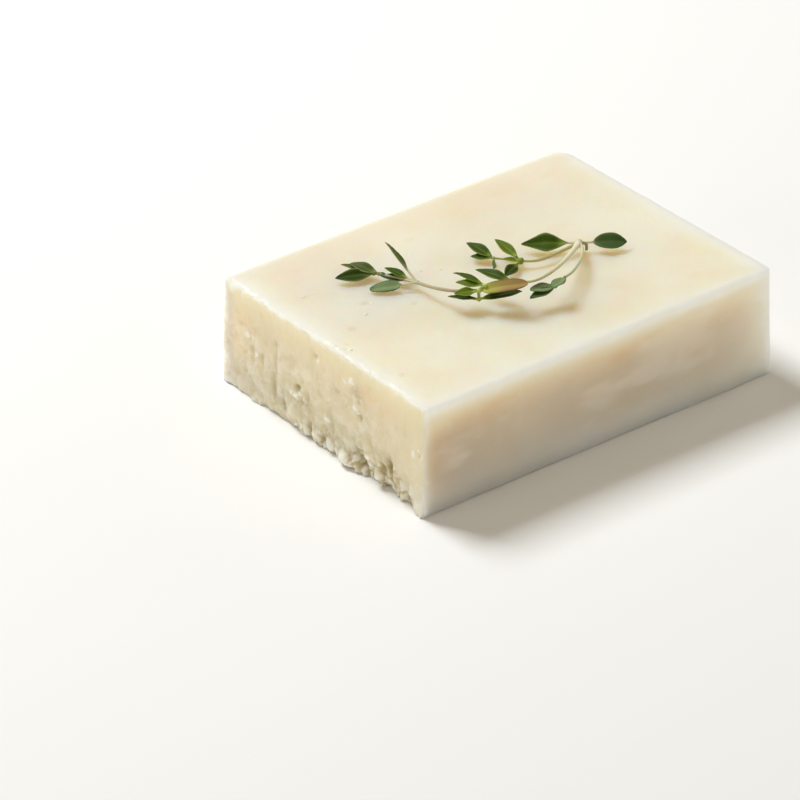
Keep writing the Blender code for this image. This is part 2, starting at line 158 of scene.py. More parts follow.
# Crumbly patches of the cut end, in mm: place along Y, height, half width, half height.
CRUMBLY = (
    (8.0, 9.5, 6.5, 3.0),
    (19.0, 9.0, 5.0, 4.0),
    (-13.5, 18.5, 2.2, 3.5),
    (-4.0, 4.0, 6.0, 2.5),
    (-19.0, 4.0, 8.0, 4.5),
)
# Warm patches of the long sides, where their painted glow is strongest, and of the cut end, in mm:
# place along the face, height, half width, half height.
SIDE_PATCHES = ((37.0, 20.0, 11.0, 5.0), (6.0, 21.0, 8.0, 4.0), (-34.0, 21.0, 15.0, 5.5))
WARM_PATCHES = ((29.0, 19.5, 3.2, 2.2), (32.2, 14.1, 2.6, 3.2), (-18.6, 21.0, 6.0, 2.4))
# How much painted shade darkens the middle height of the sides: places along X in mm, and shares.
DUSK_ALONG = ((-48.0, -36.0, -23.0, 0.0, 24.0, 42.0, 50.0), (0.48, 0.3, 0.16, 0.34, 0.27, 0.2, 0.1))
# Reach of light inside the cheese, and the weight that leaves 5 mm of it in broken cheese.
LONG_REACH = 14.0 * MM
SHORT_REACH = 2.0 * MM
BROKEN_SHALLOW = 0.674
# Pits in the top, in mm: X, Y, radius, depth.
TOP_PITS = (
    (-32.3, 7.6, 0.7, 0.30),
    (-23.5, 0.7, 0.6, 0.30),
    (-41.1, 0.4, 0.9, 0.25),
    (-48.0, -5.7, 0.7, 0.35),
    (-46.2, -4.4, 0.6, 0.20),
    (-45.1, -22.4, 0.6, 0.20),
    (17.5, -9.5, 0.5, 0.15),
    (-34.0, 4.6, 0.5, 0.15),
    (8.0, 21.0, 0.8, 0.15),
    (-6.0, 24.5, 0.7, 0.15),
    (33.0, 12.0, 0.6, 0.12),
)
# Loose crumbs on the top, in mm: X, Y, radius.
TOP_CRUMBS = (
    (-35.1, 3.6, 0.42),
    (-31.2, 6.4, 0.34),
    (-49.0, -3.4, 0.40),
    (-47.2, -6.9, 0.34),
    (-41.6, 18.3, 0.30),
    (-39.4, 18.1, 0.26),
    (-44.6, -22.0, 0.24),
    (-13.3, 11.4, 0.30),
    (-9.4, 9.1, 0.28),
    (17.9, -9.2, 0.22),
    (-46.6, -31.0, 0.26),
    (-21.2, 16.4, 0.22),
)

# ---- The sprig: where its leaves sit, in mm: X, Y, height over the cheese, knob radius ----
JOINTS = {
    "tip": (-24.2, 14.8, 1.4, 0.45),
    "tip_pair": (-23.5, 13.8, 1.6, 0.45),
    "left": (-19.4, 4.9, 1.9, 0.55),
    "mid": (-13.9, -10.6, 4.9, 0.6),
    "crown": (-12.5, -11.0, 5.9, 0.5),
    "foot": (-14.2, -11.0, 3.0, 0.55),
    "hidden": (-5.7, -13.8, 5.3, 0.5),
    "fork": (20.9, -3.9, 2.2, 1.0),
    "branch": (5.7, -1.4, 1.6, 0.8),
    "twig": (1.7, 3.6, 1.5, 0.4),
    "hook": (4.9, -18.0, 5.0, 0.4),
    "hook_end": (1.5, -19.0, 4.3, 0.4),
}


# ---------------------------------------------------------------- colours and curves


def linear(color: Color) -> tuple[float, float, float, float]:
    """Turn a display colour of 0 to 255 into the linear colour that shaders use.

    Args:
        color: Red, green and blue from 0 to 255.

    Returns:
        Linear red, green and blue of 0 to 1, and 1 for alpha.
    """
    share = np.array(color) / 255.0
    low = share / 12.92
    high = ((share + 0.055) / 1.055) ** 2.4
    return (*np.where(share <= 0.04045, low, high).tolist(), 1.0)


def smoothstep(low: float, high: float, value: Array) -> Array:
    """Ease from 0 at low to 1 at high.

    Args:
        low: Where the result is 0.
        high: Where the result is 1; it may be below low.
        value: The values to ease.

    Returns:
        One number of 0 to 1 for each value.
    """
    t = np.clip((value - low) / (high - low), 0.0, 1.0)
    return t * t * (3.0 - 2.0 * t)


def fade(value: Array, start: float, end: float) -> Array:
    """Ease from 0 to 1 along a distance.

    Args:
        value: Distances in metres.
        start: Where the result is 0, in mm.
        end: Where the result is 1, in mm; it may be below start.

    Returns:
        One number of 0 to 1 for each distance.
    """
    return smoothstep(start, end, value / MM)


def bell(value: Array, middle: float, width: float | Array) -> Array:
    """Bell-shaped height along a distance: exp of minus ((value - middle) / width) squared.

    Args:
        value: Distances in metres.
        middle: Where the height is 1, in mm.
        width: How far from there it falls to 0.37, in mm.

    Returns:
        Heights of 0 to 1.
    """
    return np.exp(-(((value / MM - middle) / width) ** 2))


def hill(along: Array, across: Array, patch: Patch) -> Array:
    """Bell-shaped height over a plane, the product of two bells.

    Args:
        along: Distances along the plane's first direction, in metres.
        across: Distances along its second direction, in metres.
        patch: The hill's two places and its two half widths, in mm.

    Returns:
        Heights of 0 to 1.
    """
    place, height, half_width, half_height = patch
    return bell(along, place, half_width) * bell(across, height, half_height)


def highest(*layers: Array | float) -> Array:
    """Return the greatest of several values at each point."""
    return functools.reduce(np.maximum, layers)


def hills(along: Array, across: Array, patches: tuple[Patch, ...]) -> Array:
    """Return the highest of several hills at each point."""
    return highest(*(hill(along, across, patch) for patch in patches))


# ---------------------------------------------------------------- noise


class Seed(IntEnum):
    """Patterns of noise, by number; each octave takes the next number."""

    STREAKS = 11
    GRAIN = 23
    CRUMBLE = 41
    SIDE_WAVE = 61
    CHIPS = 71
    NIBBLES = 73
    TOP_WAVE = 83
    CRUMBLY = 101
    WARP_ALONG = 131
    WARP_UP = 137
    LARGE_CURDS = 151
    SMALL_CURDS = 163
    SMEARS = 171
    TEETH = 177
    POCKS = 181
    SPECKLE = 191
    BRIGHT_ALONG = 193
    BRIGHT_UP = 197
    LOW_BAND = BRIGHT_UP
    FLECKS = 201
    SPECKS = 205
    TOP_GRAIN = 211
    RAGGED = 221
    FOOT = 231
    CLOUDS = 241
    LOOSE_CRUMBS = 307
    LEAVES = 401
    STEMS = 521
    KNOBS = 541


# Large odd factors that scatter whole coordinates over a word of 32 bits, and the shifts
# and factors that stir the word afterwards.
HASH_STEPS = np.array([73856093, 19349663, 83492791])
SEED_STEP = 1013904223
MIXERS = ((15, 2246822519), (13, 3266489917))
WORD = 0xFFFFFFFF


def lattice_value(cells: Array, seed: int) -> Array:
    """Mix whole lattice coordinates into one repeatable number each.

    Args:
        cells: Whole numbers, three in the last axis.
        seed: Chooses another set of numbers.

    Returns:
        Numbers between -1 and 1.
    """
    mixed = np.bitwise_xor.reduce(cells * HASH_STEPS, axis=-1)
    mixed = (mixed + seed * SEED_STEP) & WORD
    for shift, factor in MIXERS:
        mixed = ((mixed ^ (mixed >> shift)) * factor) & WORD
    mixed = mixed ^ (mixed >> 16)
    return (mixed & 0xFFFF) / 32767.5 - 1.0


def noise(points: Array, cell: Cell, seed: int) -> Array:
    """Smooth random height whose bumps are about one cell wide.

    Args:
        points: Places, three coordinates in the last axis.
        cell: Width of a bump.
        seed: Chooses another pattern.

    Returns:
        Heights between -1 and 1.
    """
    place = points / np.asarray(cell)
    base = np.floor(place).astype(np.int64)
    t = place - base
    t = t * t * t * (t * (6.0 * t - 15.0) + 10.0)
    total = np.zeros(points.shape[:-1])
    for corner in itertools.product((0, 1), repeat=3):
        weight = np.prod(np.where(np.array(corner) == 1, t, 1.0 - t), axis=-1)
        total += weight * lattice_value(base + np.array(corner), seed)
    return total


def rough(points: Array, cell: Cell, seed: int, octaves: int = 3) -> Array:
    """Add octaves of noise, each half as wide and half as high as the last.

    Args:
        points: Places, three coordinates in the last axis.
        cell: Width of the widest bumps.
        seed: Chooses another pattern.
        octaves: How many layers of noise to add.

    Returns:
        Heights, mostly between -1.5 and 1.5.
    """
    total = np.zeros(points.shape[:-1])
    for octave in range(octaves):
        total += noise(points, np.asarray(cell) / 2**octave, seed + octave) / 2**octave
    return total


def curds(places: Array, seed: int) -> tuple[Array, Array]:
    """Cellular noise in a plane: rounded lumps round scattered points.

    Args:
        places: Coordinates in a plane in units of a lump, two in the last axis.
        seed: Chooses another scatter.

    Returns:
        The height of the rounded lump, 1 at its middle and 0 where it meets the next, half
        a ball and half a soft hill, and one random number of -1 to 1 for the lump itself.
    """
    base = np.floor(places).astype(np.int64)
    nearest = np.full(len(places), 9.0)
    second = np.full(len(places), 9.0)
    tag = np.zeros(len(places))
    for shift in itertools.product((-1, 0, 1), repeat=2):
        cell = base + np.array(shift)
        key = np.column_stack([cell, np.zeros(len(cell), dtype=np.int64)])
        jitter = np.column_stack([lattice_value(key, seed), lattice_value(key, seed + 1)])
        away = np.linalg.norm(places - (cell + 0.5 + 0.42 * jitter), axis=1)
        second = np.minimum(second, np.maximum(away, nearest))
        tag = np.where(away < nearest, lattice_value(key, seed + 2), tag)
        nearest = np.minimum(nearest, away)
    between = np.clip((second - nearest) / 0.7, 0.0, 1.0)
    ball, hill = np.sqrt(between * (2.0 - between)), between**2 * (3.0 - 2.0 * between)
    return 0.5 * (ball + hill), tag


# ---------------------------------------------------------------- pieces and materials


def make_piece(
    name: str,
    points: Array,
    faces: Array,
    material: bpy.types.Material,
    node: str,
) -> bpy.types.Object:
    """Make a smooth mesh piece that rides on the root body and stands for a solid.

    Args:
        name: Name of the piece.
        points: Its points, in metres.
        faces: Its quads, as four indices each, or triangles, as three.
        material: Its finish.
        node: The solid that it stands for.

    Returns:
        The new object.
    """
    mesh = bpy.data.meshes.new(name)
    sides = faces.shape[1]
    mesh.vertices.add(len(points))
    mesh.vertices.foreach_set("co", points.astype(np.float32).ravel())
    mesh.loops.add(faces.size)
    mesh.loops.foreach_set("vertex_index", faces.astype(np.int32).ravel())
    mesh.polygons.add(len(faces))
    mesh.polygons.foreach_set("loop_start", np.arange(0, faces.size, sides, dtype=np.int32))
    mesh.update(calc_edges=True)
    mesh.validate()
    mesh.shade_smooth()
    mesh.materials.append(material)
    piece = bpy.data.objects.new(name, mesh)
    bpy.context.scene.collection.objects.link(piece)
    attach(piece, "root")
    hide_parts(node)
    log.info("%s: %d points, %d triangles", name, len(points), len(faces) * (sides - 2))
    return piece


def add_weight(piece: bpy.types.Object, name: str, values: Array) -> None:
    """Store one number at each point of a piece, for its material to read.

    Args:
        piece: The piece.
        name: Name of the new attribute.
        values: One number for each point.
    """
    layer = piece.data.attributes.new(name, "FLOAT", "POINT")
    layer.data.foreach_set("value", values.astype(np.float32).ravel())


def add_color(piece: bpy.types.Object, name: str, values: Array) -> None:
    """Store one linear colour at each point of a piece, for its material to read.

    Args:
        piece: The piece.
        name: Name of the new attribute.
        values: Red, green, blue and alpha for each point.
    """
    layer = piece.data.attributes.new(name, "FLOAT_COLOR", "POINT")
    layer.data.foreach_set("color", values.astype(np.float32).ravel())


class Graph:
    """A material whose nodes are added by short calls."""

    def __init__(self, name: str) -> None:
        """Start a material with a Principled shader.

        Args:
            name: Name of the material.
        """
        self.material = bpy.data.materials.new(name)
        self.material.use_nodes = True
        self.nodes = self.material.node_tree.nodes
        self.links = self.material.node_tree.links
        self.shader = self.nodes["Principled BSDF"]
        self._place: bpy.types.NodeSocket | None = None

    def _feed(self, socket: bpy.types.NodeSocket, value: Value) -> None:
        """Link a socket to another, or set its own value.

        Args:
            socket: The input.
            value: What it gets.
        """
        if isinstance(value, bpy.types.NodeSocket):
            self.links.new(value, socket)
        else:
            socket.default_value = value

    def set(self, **values: Value) -> None:
        """Set or link sockets of the shader, named with _ for each space."""
        for name, value in values.items():
            self._feed(self.shader.inputs[name.replace("_", " ")], value)

    def place(self) -> bpy.types.NodeSocket:
        """Return the object's own coordinates, in metres.

        Returns:
            The socket of the coordinates.
        """
        if self._place is None:
            self._place = self.nodes.new("ShaderNodeTexCoord").outputs["Object"]
        return self._place

    def weight(self, name: str) -> bpy.types.NodeSocket:
        """Return a number that is stored at the points.

        Args:
            name: Name of the attribute.

        Returns:
            The socket of the number.
        """
        node = self.nodes.new("ShaderNodeAttribute")
        node.attribute_name = name
        return node.outputs["Fac"]

    def tint(self, name: str) -> bpy.types.NodeSocket:
        """Return a colour that is stored at the points.

        Args:
            name: Name of the attribute.

        Returns:
            The socket of the colour.
        """
        node = self.nodes.new("ShaderNodeAttribute")
        node.attribute_name = name
        return node.outputs["Color"]

    def noise(self, size: float, detail: float = 2.0) -> bpy.types.NodeSocket:
        """Return fractal noise whose widest bumps are about size metres wide.

        Args:
            size: Width of the widest bumps, in metres.
            detail: How many octaves of finer bumps are added.

        Returns:
            A socket of about 0 to 1.
        """
        node = self.nodes.new("ShaderNodeTexNoise")
        self.links.new(self.place(), node.inputs["Vector"])
        node.inputs["Scale"].default_value = 1.0 / size
        node.inputs["Detail"].default_value = detail
        node.inputs["Roughness"].default_value = 0.55
        return node.outputs["Fac"]

    def ease(
        self, value: Value, low: float, high: float, top: float = 1.0, bottom: float = 0.0
    ) -> bpy.types.NodeSocket:
        """Map a number from bottom at low to top at high, eased and held outside.

        Args:
            value: The number to map.
            low: Where the result is bottom.
            high: Where the result is top.
            top: The result from high on.
            bottom: The result up to low.

        Returns:
            The socket of the result.
        """
        node = self.nodes.new("ShaderNodeMapRange")
        node.interpolation_type = "SMOOTHSTEP"
        self._feed(node.inputs["Value"], value)
        node.inputs["From Min"].default_value = low
        node.inputs["From Max"].default_value = high
        node.inputs["To Min"].default_value = bottom
        node.inputs["To Max"].default_value = top
        return node.outputs["Result"]

    def math(self, operation: str, first: Value, second: Value) -> bpy.types.NodeSocket:
        """Combine two numbers.

        Args:
            operation: What is done with them.
            first: The first number.
            second: The second number.

        Returns:
            The socket of the result.
        """
        node = self.nodes.new("ShaderNodeMath")
        node.operation = operation
        self._feed(node.inputs[0], first)
        self._feed(node.inputs[1], second)
        return node.outputs["Value"]

    def mix(
        self, share: Value, first: Value, second: Value, blend: str = "MIX"
    ) -> bpy.types.NodeSocket:
        """Blend two colours.

        Args:
            share: How much of the second there is, 0 to 1.
            first: The colour below.
            second: The colour above.
            blend: How the second covers the first.

        Returns:
            The socket of the blend.
        """
        node = self.nodes.new("ShaderNodeMix")
        node.data_type = "RGBA"
        node.blend_type = blend
        self._feed(node.inputs["Factor"], share)
        colors = [s for s in node.inputs if s.type == "RGBA"]
        self._feed(colors[0], first)
        self._feed(colors[1], second)
        return next(s for s in node.outputs if s.type == "RGBA")

    def bump(self, height: Value, depth: float, strength: float) -> None:
        """Tilt the shader's normal by a height of 0 to 1 that stands for depth metres.

        Args:
            height: The height.
            depth: What a height of 1 stands for, in metres.
            strength: How much of the tilt is used, 0 to 1.
        """
        node = self.nodes.new("ShaderNodeBump")
        self._feed(node.inputs["Height"], height)
        node.inputs["Distance"].default_value = depth
        node.inputs["Strength"].default_value = strength
        self.links.new(node.outputs["Normal"], self.shader.inputs["Normal"])


@dataclass(frozen=True)
class CheeseFinish:
    """Creamy pressed cheese: blotches, whiter edges and crumbs, painted light on edges and crumbs,
    warm painted shade in hollows, and painted shade low and midway on the sides.

    Inside it light goes further in red than in blue: spread is for each colour, and
    top_spread is the same on the top.
    """

    cream: Color = (241, 237, 218)
    deep_cream: Color = (238, 230, 204)
    peach: Color = (237, 213, 174)
    cut: Color = (235, 223, 191)
    # Whiter colour, partly the cheese's own on edges, crumbs and clouds and partly painted light
    # near the top of the sides, at the far end and on crumbs.
    white_and_lit: Color = (252, 250, 240)
    # Painted shade: warm dark colour laid in the cut's gaps, pocks, specks and torn-out crumbs and
    # in the top's pits.
    hollow_shade: Color = (166, 150, 90)
    # Painted shade: grey laid on the sides towards the foot, the low cut, the cut's far edge and
    # the top's far left and back.
    foot: Color = (200, 194, 190)
    # Painted shade: brown laid on the sides' middle height and the low cut, with a painted shadow
    # under the sprig's arch.
    shade: Color = (186, 160, 124)
    spread: tuple[float, ...] = (1.0, 0.86, 0.7, 1.0)
    top_spread: tuple[float, ...] = (1.15, 0.7, 0.38, 1.0)
    roughness: float = 0.44

    def build(self) -> bpy.types.Material:
        """Build the material.

        Returns:
            A material that reads the weights white_and_lit, hollow_shade, cut, warm_and_glow, foot,
            shade, deep and above, where foot and shade are painted shade.
        """
        graph = Graph("cheese")
        blotch = graph.ease(graph.noise(26.0 * MM, 3.0), 0.35, 0.68)
        color = graph.mix(blotch, linear(self.cream), linear(self.deep_cream))
        peach = graph.ease(graph.noise(12.0 * MM, 4.0), 0.5, 0.8, 0.25)
        color = graph.mix(peach, color, linear(self.peach))
        layers = {
            "cut": self.cut,
            # Warm patches of the cut, and painted warm glow on the sides.
            "warm_and_glow": self.peach,
            # Painted shade: the grey layer.
            "foot": self.foot,
            # Painted shade and a painted shadow of the sprig.
            "shade": self.shade,
            # Painted shade in hollows.
            "hollow_shade": self.hollow_shade,
            # Own whiteness with painted light laid on it.
            "white_and_lit": self.white_and_lit,
        }
        for name, tone in layers.items():
            color = graph.mix(graph.weight(name), color, linear(tone))
        grain = graph.noise(0.9 * MM, 3.0)
        graph.set(
            Base_Color=color,
            Roughness=graph.ease(grain, 0.3, 0.7, self.roughness + 0.1, self.roughness - 0.1),
            Subsurface_Weight=1.0,
            Subsurface_Scale=graph.ease(graph.weight("deep"), 0.0, 1.0, LONG_REACH, SHORT_REACH),
            Subsurface_Radius=graph.mix(graph.weight("above"), self.spread, self.top_spread),
            Specular_IOR_Level=0.4,
        )
        fine = graph.math("ADD", graph.noise(0.5 * MM, 3.0), graph.noise(2.6 * MM, 2.0))
        graph.bump(fine, 0.10 * MM, 0.35)
        return graph.material


@dataclass(frozen=True)
class CrumbFinish:
    """Dry white crumb, a little uneven in colour."""

    light: Color = (255, 252, 238)
    dark: Color = (252, 246, 226)
    roughness: float = 0.3

    def build(self) -> bpy.types.Material:
        """Build the material.

        Returns:
            A matt material with fine mottling.
        """
        graph = Graph("cheese_crumb")
        mottle = graph.noise(0.3 * MM, 2.0)
        color = graph.mix(mottle, linear(self.light), linear(self.dark))
        graph.set(Base_Color=color, Roughness=self.roughness)
        graph.bump(mottle, 0.05 * MM, 0.4)
        return graph.material


# ---------------------------------------------------------------- the cut end


@dataclass
class CutPattern:
    """Patterns over the cut end, one value a point, that its relief and colours share.

    y and z are places on the cut, and flat is the whole point in its plane. broken tells
    where crumbs have come away, torn where the knife has dragged, and foot is the crumbled
    band low down. large and small are the curd lumps, each lump with a random number of its
    own. The rest are marks of 0 to 1, but smears and teeth go from about -1.
    """

    y: Array
    z: Array
    flat: Array
    foot: Array
    broken: Array
    torn: Array
    large: Array
    large_tag: Array
    small: Array
    small_tag: Array
    smears: Array
    pocks: Array
    flecks: Array
    specks: Array
    teeth: Array
    bright: Array

    def hollow_shade(self) -> Array:
        """Painted shade between crumbs, 0 to 1: in gaps, pocks, smears and specks, and in a dark
        band low down.

        Returns:
            One darkness for each point.
        """
        gaps = self.broken * np.clip(1.0 - 1.3 * self.large * (0.6 + 0.4 * self.small), 0.0, 1.0)
        low = fade(self.y, 30.0, 12.0) * fade(self.y, -33.0, -22.0)
        band = bell(self.z, 9.0, 4.5) + 0.3 * fade(self.z, 4.0, 1.0)
        patchy = np.clip(0.8 + 0.5 * rough(self.flat, 4.0 * MM, Seed.LOW_BAND, 2), 0.2, 1.2)
        gloom = 0.28 * self.foot * (1.0 - self.large) ** 1.5 + 0.32 * low * band * patchy
        deep = np.clip(highest(gaps, 0.1 * self.pocks) + gloom - 0.5 * self.teeth, 0.0, 1.0)
        smeared = 0.14 * self.torn * smoothstep(0.1, 0.9, self.smears)
        return highest(deep * (1.0 - 0.8 * self.bright), smeared, 0.3 * self.specks)

    def proud(self) -> Array:
        """Where crumbs stand out and are whiter, 0 to 1: lumps, teeth, smears and flecks, and the
        large lumps low down, whose whiteness is painted light.

        Returns:
            One whiteness for each point.
        """
        lumps = self.broken * self.large * smoothstep(-0.3, 0.7, self.large_tag)
        return highest(
            lumps * (0.4 + 0.6 * self.small),
            0.6 * smoothstep(0.15, 0.7, self.teeth),
            0.25 * self.torn * smoothstep(0.2, 1.0, -self.smears),
            0.45 * self.flecks,
            # Painted light on the large lumps low down.
            0.85 * self.foot * smoothstep(0.3, 0.8, self.large),
        )


@dataclass(frozen=True)
class CutEnd:
    """Wear of the crumbly cut end: sizes and depths of each kind of mark, in metres.

    The bright crumbs stand out by a share of their own heights.
    """

    knife_streak: float = 0.035 * MM
    grain: float = 0.22 * MM
    crumble_depth: float = 1.5 * MM
    crumble_rough: float = 0.9 * MM
    large_size: float = 2.3 * MM
    large_depth: float = 0.22 * MM
    foot_depth: float = 0.25 * MM
    small_size: float = 1.05 * MM
    small_depth: float = 0.14 * MM
    warp: float = 0.7 * MM
    smear_depth: float = 0.16 * MM
    fleck_depth: float = 0.08 * MM
    tooth_depth: float = 0.4 * MM
    pock_depth: float = 0.1 * MM
    speckle_depth: float = 0.035 * MM
    bright_share: float = 0.7

    def torn_out(self, points: Array) -> Array:
        """Depth of the named crumbs, the knife's upright streaks and the grain.

        Args:
            points: The leaned box's points.

        Returns:
            How far each point goes in at the cut itself, in metres.
        """
        y, z = points[:, 1], points[:, 2]
        flat = points * IN_CUT
        depth = self.knife_streak * rough(flat, (1.0, 1.4 * MM, 11.0 * MM), Seed.STREAKS, 2)
        grain = rough(flat, (1.0, 2.6 * MM, 2.4 * MM), Seed.GRAIN, 2)
        depth += self.grain * (0.5 + fade(z, 14.4, 2.0)) * grain
        for *patch, crumb in CRUMBS:
            depth += crumb * MM * hill(y, z, patch)
        return depth

    def crumbled(self, points: Array) -> Array:
        """Depth to which the foot has crumbled away, in a ragged band.

        Args:
            points: The leaned box's points.

        Returns:
            How far each point goes in at the cut itself, in metres.
        """
        y, z = points[:, 1], points[:, 2]
        ragged = rough(points * (0.0, 1.0, 0.4), 4.6 * MM, Seed.CRUMBLE, 3)
        band = fade(y, -36.0, -29.0) * fade(z, 9.0, 0.0) * (0.35 + 0.65 * fade(y, 6.0, -14.0))
        calm = 1.0 - 0.75 * fade(y, 14.0, 26.0)
        return band * (self.crumble_depth + self.crumble_rough * ragged * calm)

    @staticmethod
    def _crumbly(y: Array, z: Array) -> Array:
        """Where the cut is crumbly, 0 to 1: a ragged foot band and the named patches.

        Args:
            y: Places across the cut, in metres.
            z: Heights, in metres.

        Returns:
            One share for each point.
        """
        ragged = rough(np.column_stack([np.zeros(len(y)), y, z]), 3.4 * MM, Seed.CRUMBLY, 2)
        band_top = 3.0 + 3.5 * fade(y, -2.0, -16.0) + 1.5 * ragged
        band = smoothstep(0.0, 1.0, (band_top - z / MM) / 3.0 + 0.5)
        patches = hills(y, z, CRUMBLY) * np.clip(0.7 + 0.5 * ragged, 0.0, 1.0)
        ends = fade(y, -38.0, -31.0) * fade(y, 33.0, 26.0)
        return highest(band, patches) * (0.15 + 0.85 * ends)

    @staticmethod
    def _teeth(flat: Array, y: Array, z: Array) -> Array:
        """Upright teeth that the crumbled foot ends in, about -1 to 1."""
        reach = fade(z, 4.5, 1.0) * fade(y, 31.0, 25.0) * (1.0 - 0.65 * fade(y, 8.0, 20.0))
        return reach * rough(flat, (1.0, 1.5 * MM, 7.0 * MM), Seed.TEETH, 2)

    @staticmethod
    def _bright_lumps(flat: Array, y: Array, z: Array) -> list[tuple[float, Array]]:
        """Height in mm of each bright crumb, and its ragged lump of 0 to 1 at each point.

        Args:
            flat: The points in the cut's own plane.
            y: Places across the cut, in metres.
            z: Heights, in metres.

        Returns:
            One pair for each crumb in BRIGHT_CRUMBS.
        """
        along, up = (
            0.6 * rough(flat, 1.1 * MM, seed, 3) for seed in (Seed.BRIGHT_ALONG, Seed.BRIGHT_UP)
        )
        return [
            (proud, smoothstep(1.2, 0.3, np.hypot(y / MM + along - a, z / MM + up - b) / size))
            for a, b, size, proud in BRIGHT_CRUMBS
        ]

    def fine(self, points: Array) -> tuple[Array, CutPattern]:
        """Curd lumps, smears, flecks and bright crumbs that are too fine for the solid.

        Args:
            points: The leaned box's points.

        Returns:
            How far they go in, in metres, and the patterns that the finish reads.
        """
        y, z = points[:, 1], points[:, 2]
        flat = points * IN_CUT
        crumbly = self._crumbly(y, z)
        stretch = fade(y, 15.0, 4.0) * fade(y, -34.0, -29.0)
        warp = self.warp * np.column_stack(
            [rough(flat, 2.4 * MM, seed) for seed in (Seed.WARP_ALONG, Seed.WARP_UP)]
        )
        bent = flat + np.column_stack([np.zeros(len(y)), warp])
        plane = np.column_stack([y, 0.8 * z]) + warp
        large, large_tag = curds(plane / self.large_size, Seed.LARGE_CURDS)
        small, small_tag = curds(plane / self.small_size, Seed.SMALL_CURDS)
        rubbed = 0.3 + 0.7 * fade(y, -26.0, -12.0)
        torn = highest(crumbly, 0.8 * rubbed * fade(z, 24.0, 15.0))
        flecks = rough(bent, (1.0, 1.5 * MM, 1.2 * MM), Seed.FLECKS, 2)
        specks = rough(bent, (1.0, 1.3 * MM, 1.5 * MM), Seed.SPECKS, 2)
        pocks = rough(flat, (1.0, 1.6 * MM, 2.6 * MM), Seed.POCKS, 2)
        lumps = self._bright_lumps(flat, y, z)
        pattern = CutPattern(
            y=y,
            z=z,
            flat=flat,
            foot=fade(z, 6.5, 1.5) * stretch,
            broken=crumbly * (0.2 + 0.8 * stretch),
            torn=torn,
            large=large,
            large_tag=large_tag,
            small=small,
            small_tag=small_tag,
            smears=rough(flat, (1.0, 2.3 * MM, 2.9 * MM), Seed.SMEARS, 3),
            pocks=smoothstep(0.4, 1.2, pocks),
            flecks=torn * smoothstep(0.2, 0.8, flecks),
            specks=torn * smoothstep(0.3, 0.9, specks),
            teeth=self._teeth(flat, y, z),
            bright=highest(*(lump for _, lump in lumps)),
        )
        depth = self._fine_depth(pattern)
        depth -= sum(self.bright_share * proud * MM * lump for proud, lump in lumps)
        return depth, pattern

    def _fine_depth(self, pattern: CutPattern) -> Array:
        """Depth of the patterns: curds stand out of it, and specks and pocks go in.

        Args:
            pattern: The patterns of the cut end.

        Returns:
            How far each point goes in, in metres.
        """
        large = pattern.large * (1.0 + 0.6 * pattern.large_tag) - 0.6
        small = pattern.small * (1.0 + 0.5 * pattern.small_tag) - 0.6
        depth = -(self.large_depth + self.foot_depth * pattern.foot) * pattern.broken * large
        depth -= self.small_depth * (0.1 + 0.9 * pattern.broken) * small
        depth += self.smear_depth * pattern.smears * (0.15 + 0.85 * pattern.torn)
        depth += self.fleck_depth * (pattern.specks - pattern.flecks)
        depth -= self.tooth_depth * pattern.teeth
        depth += self.pock_depth * pattern.pocks
        return depth + self.speckle_depth * rough(pattern.flat, 0.9 * MM, Seed.SPECKLE, 2)


# ---------------------------------------------------------------- tones of the cheese


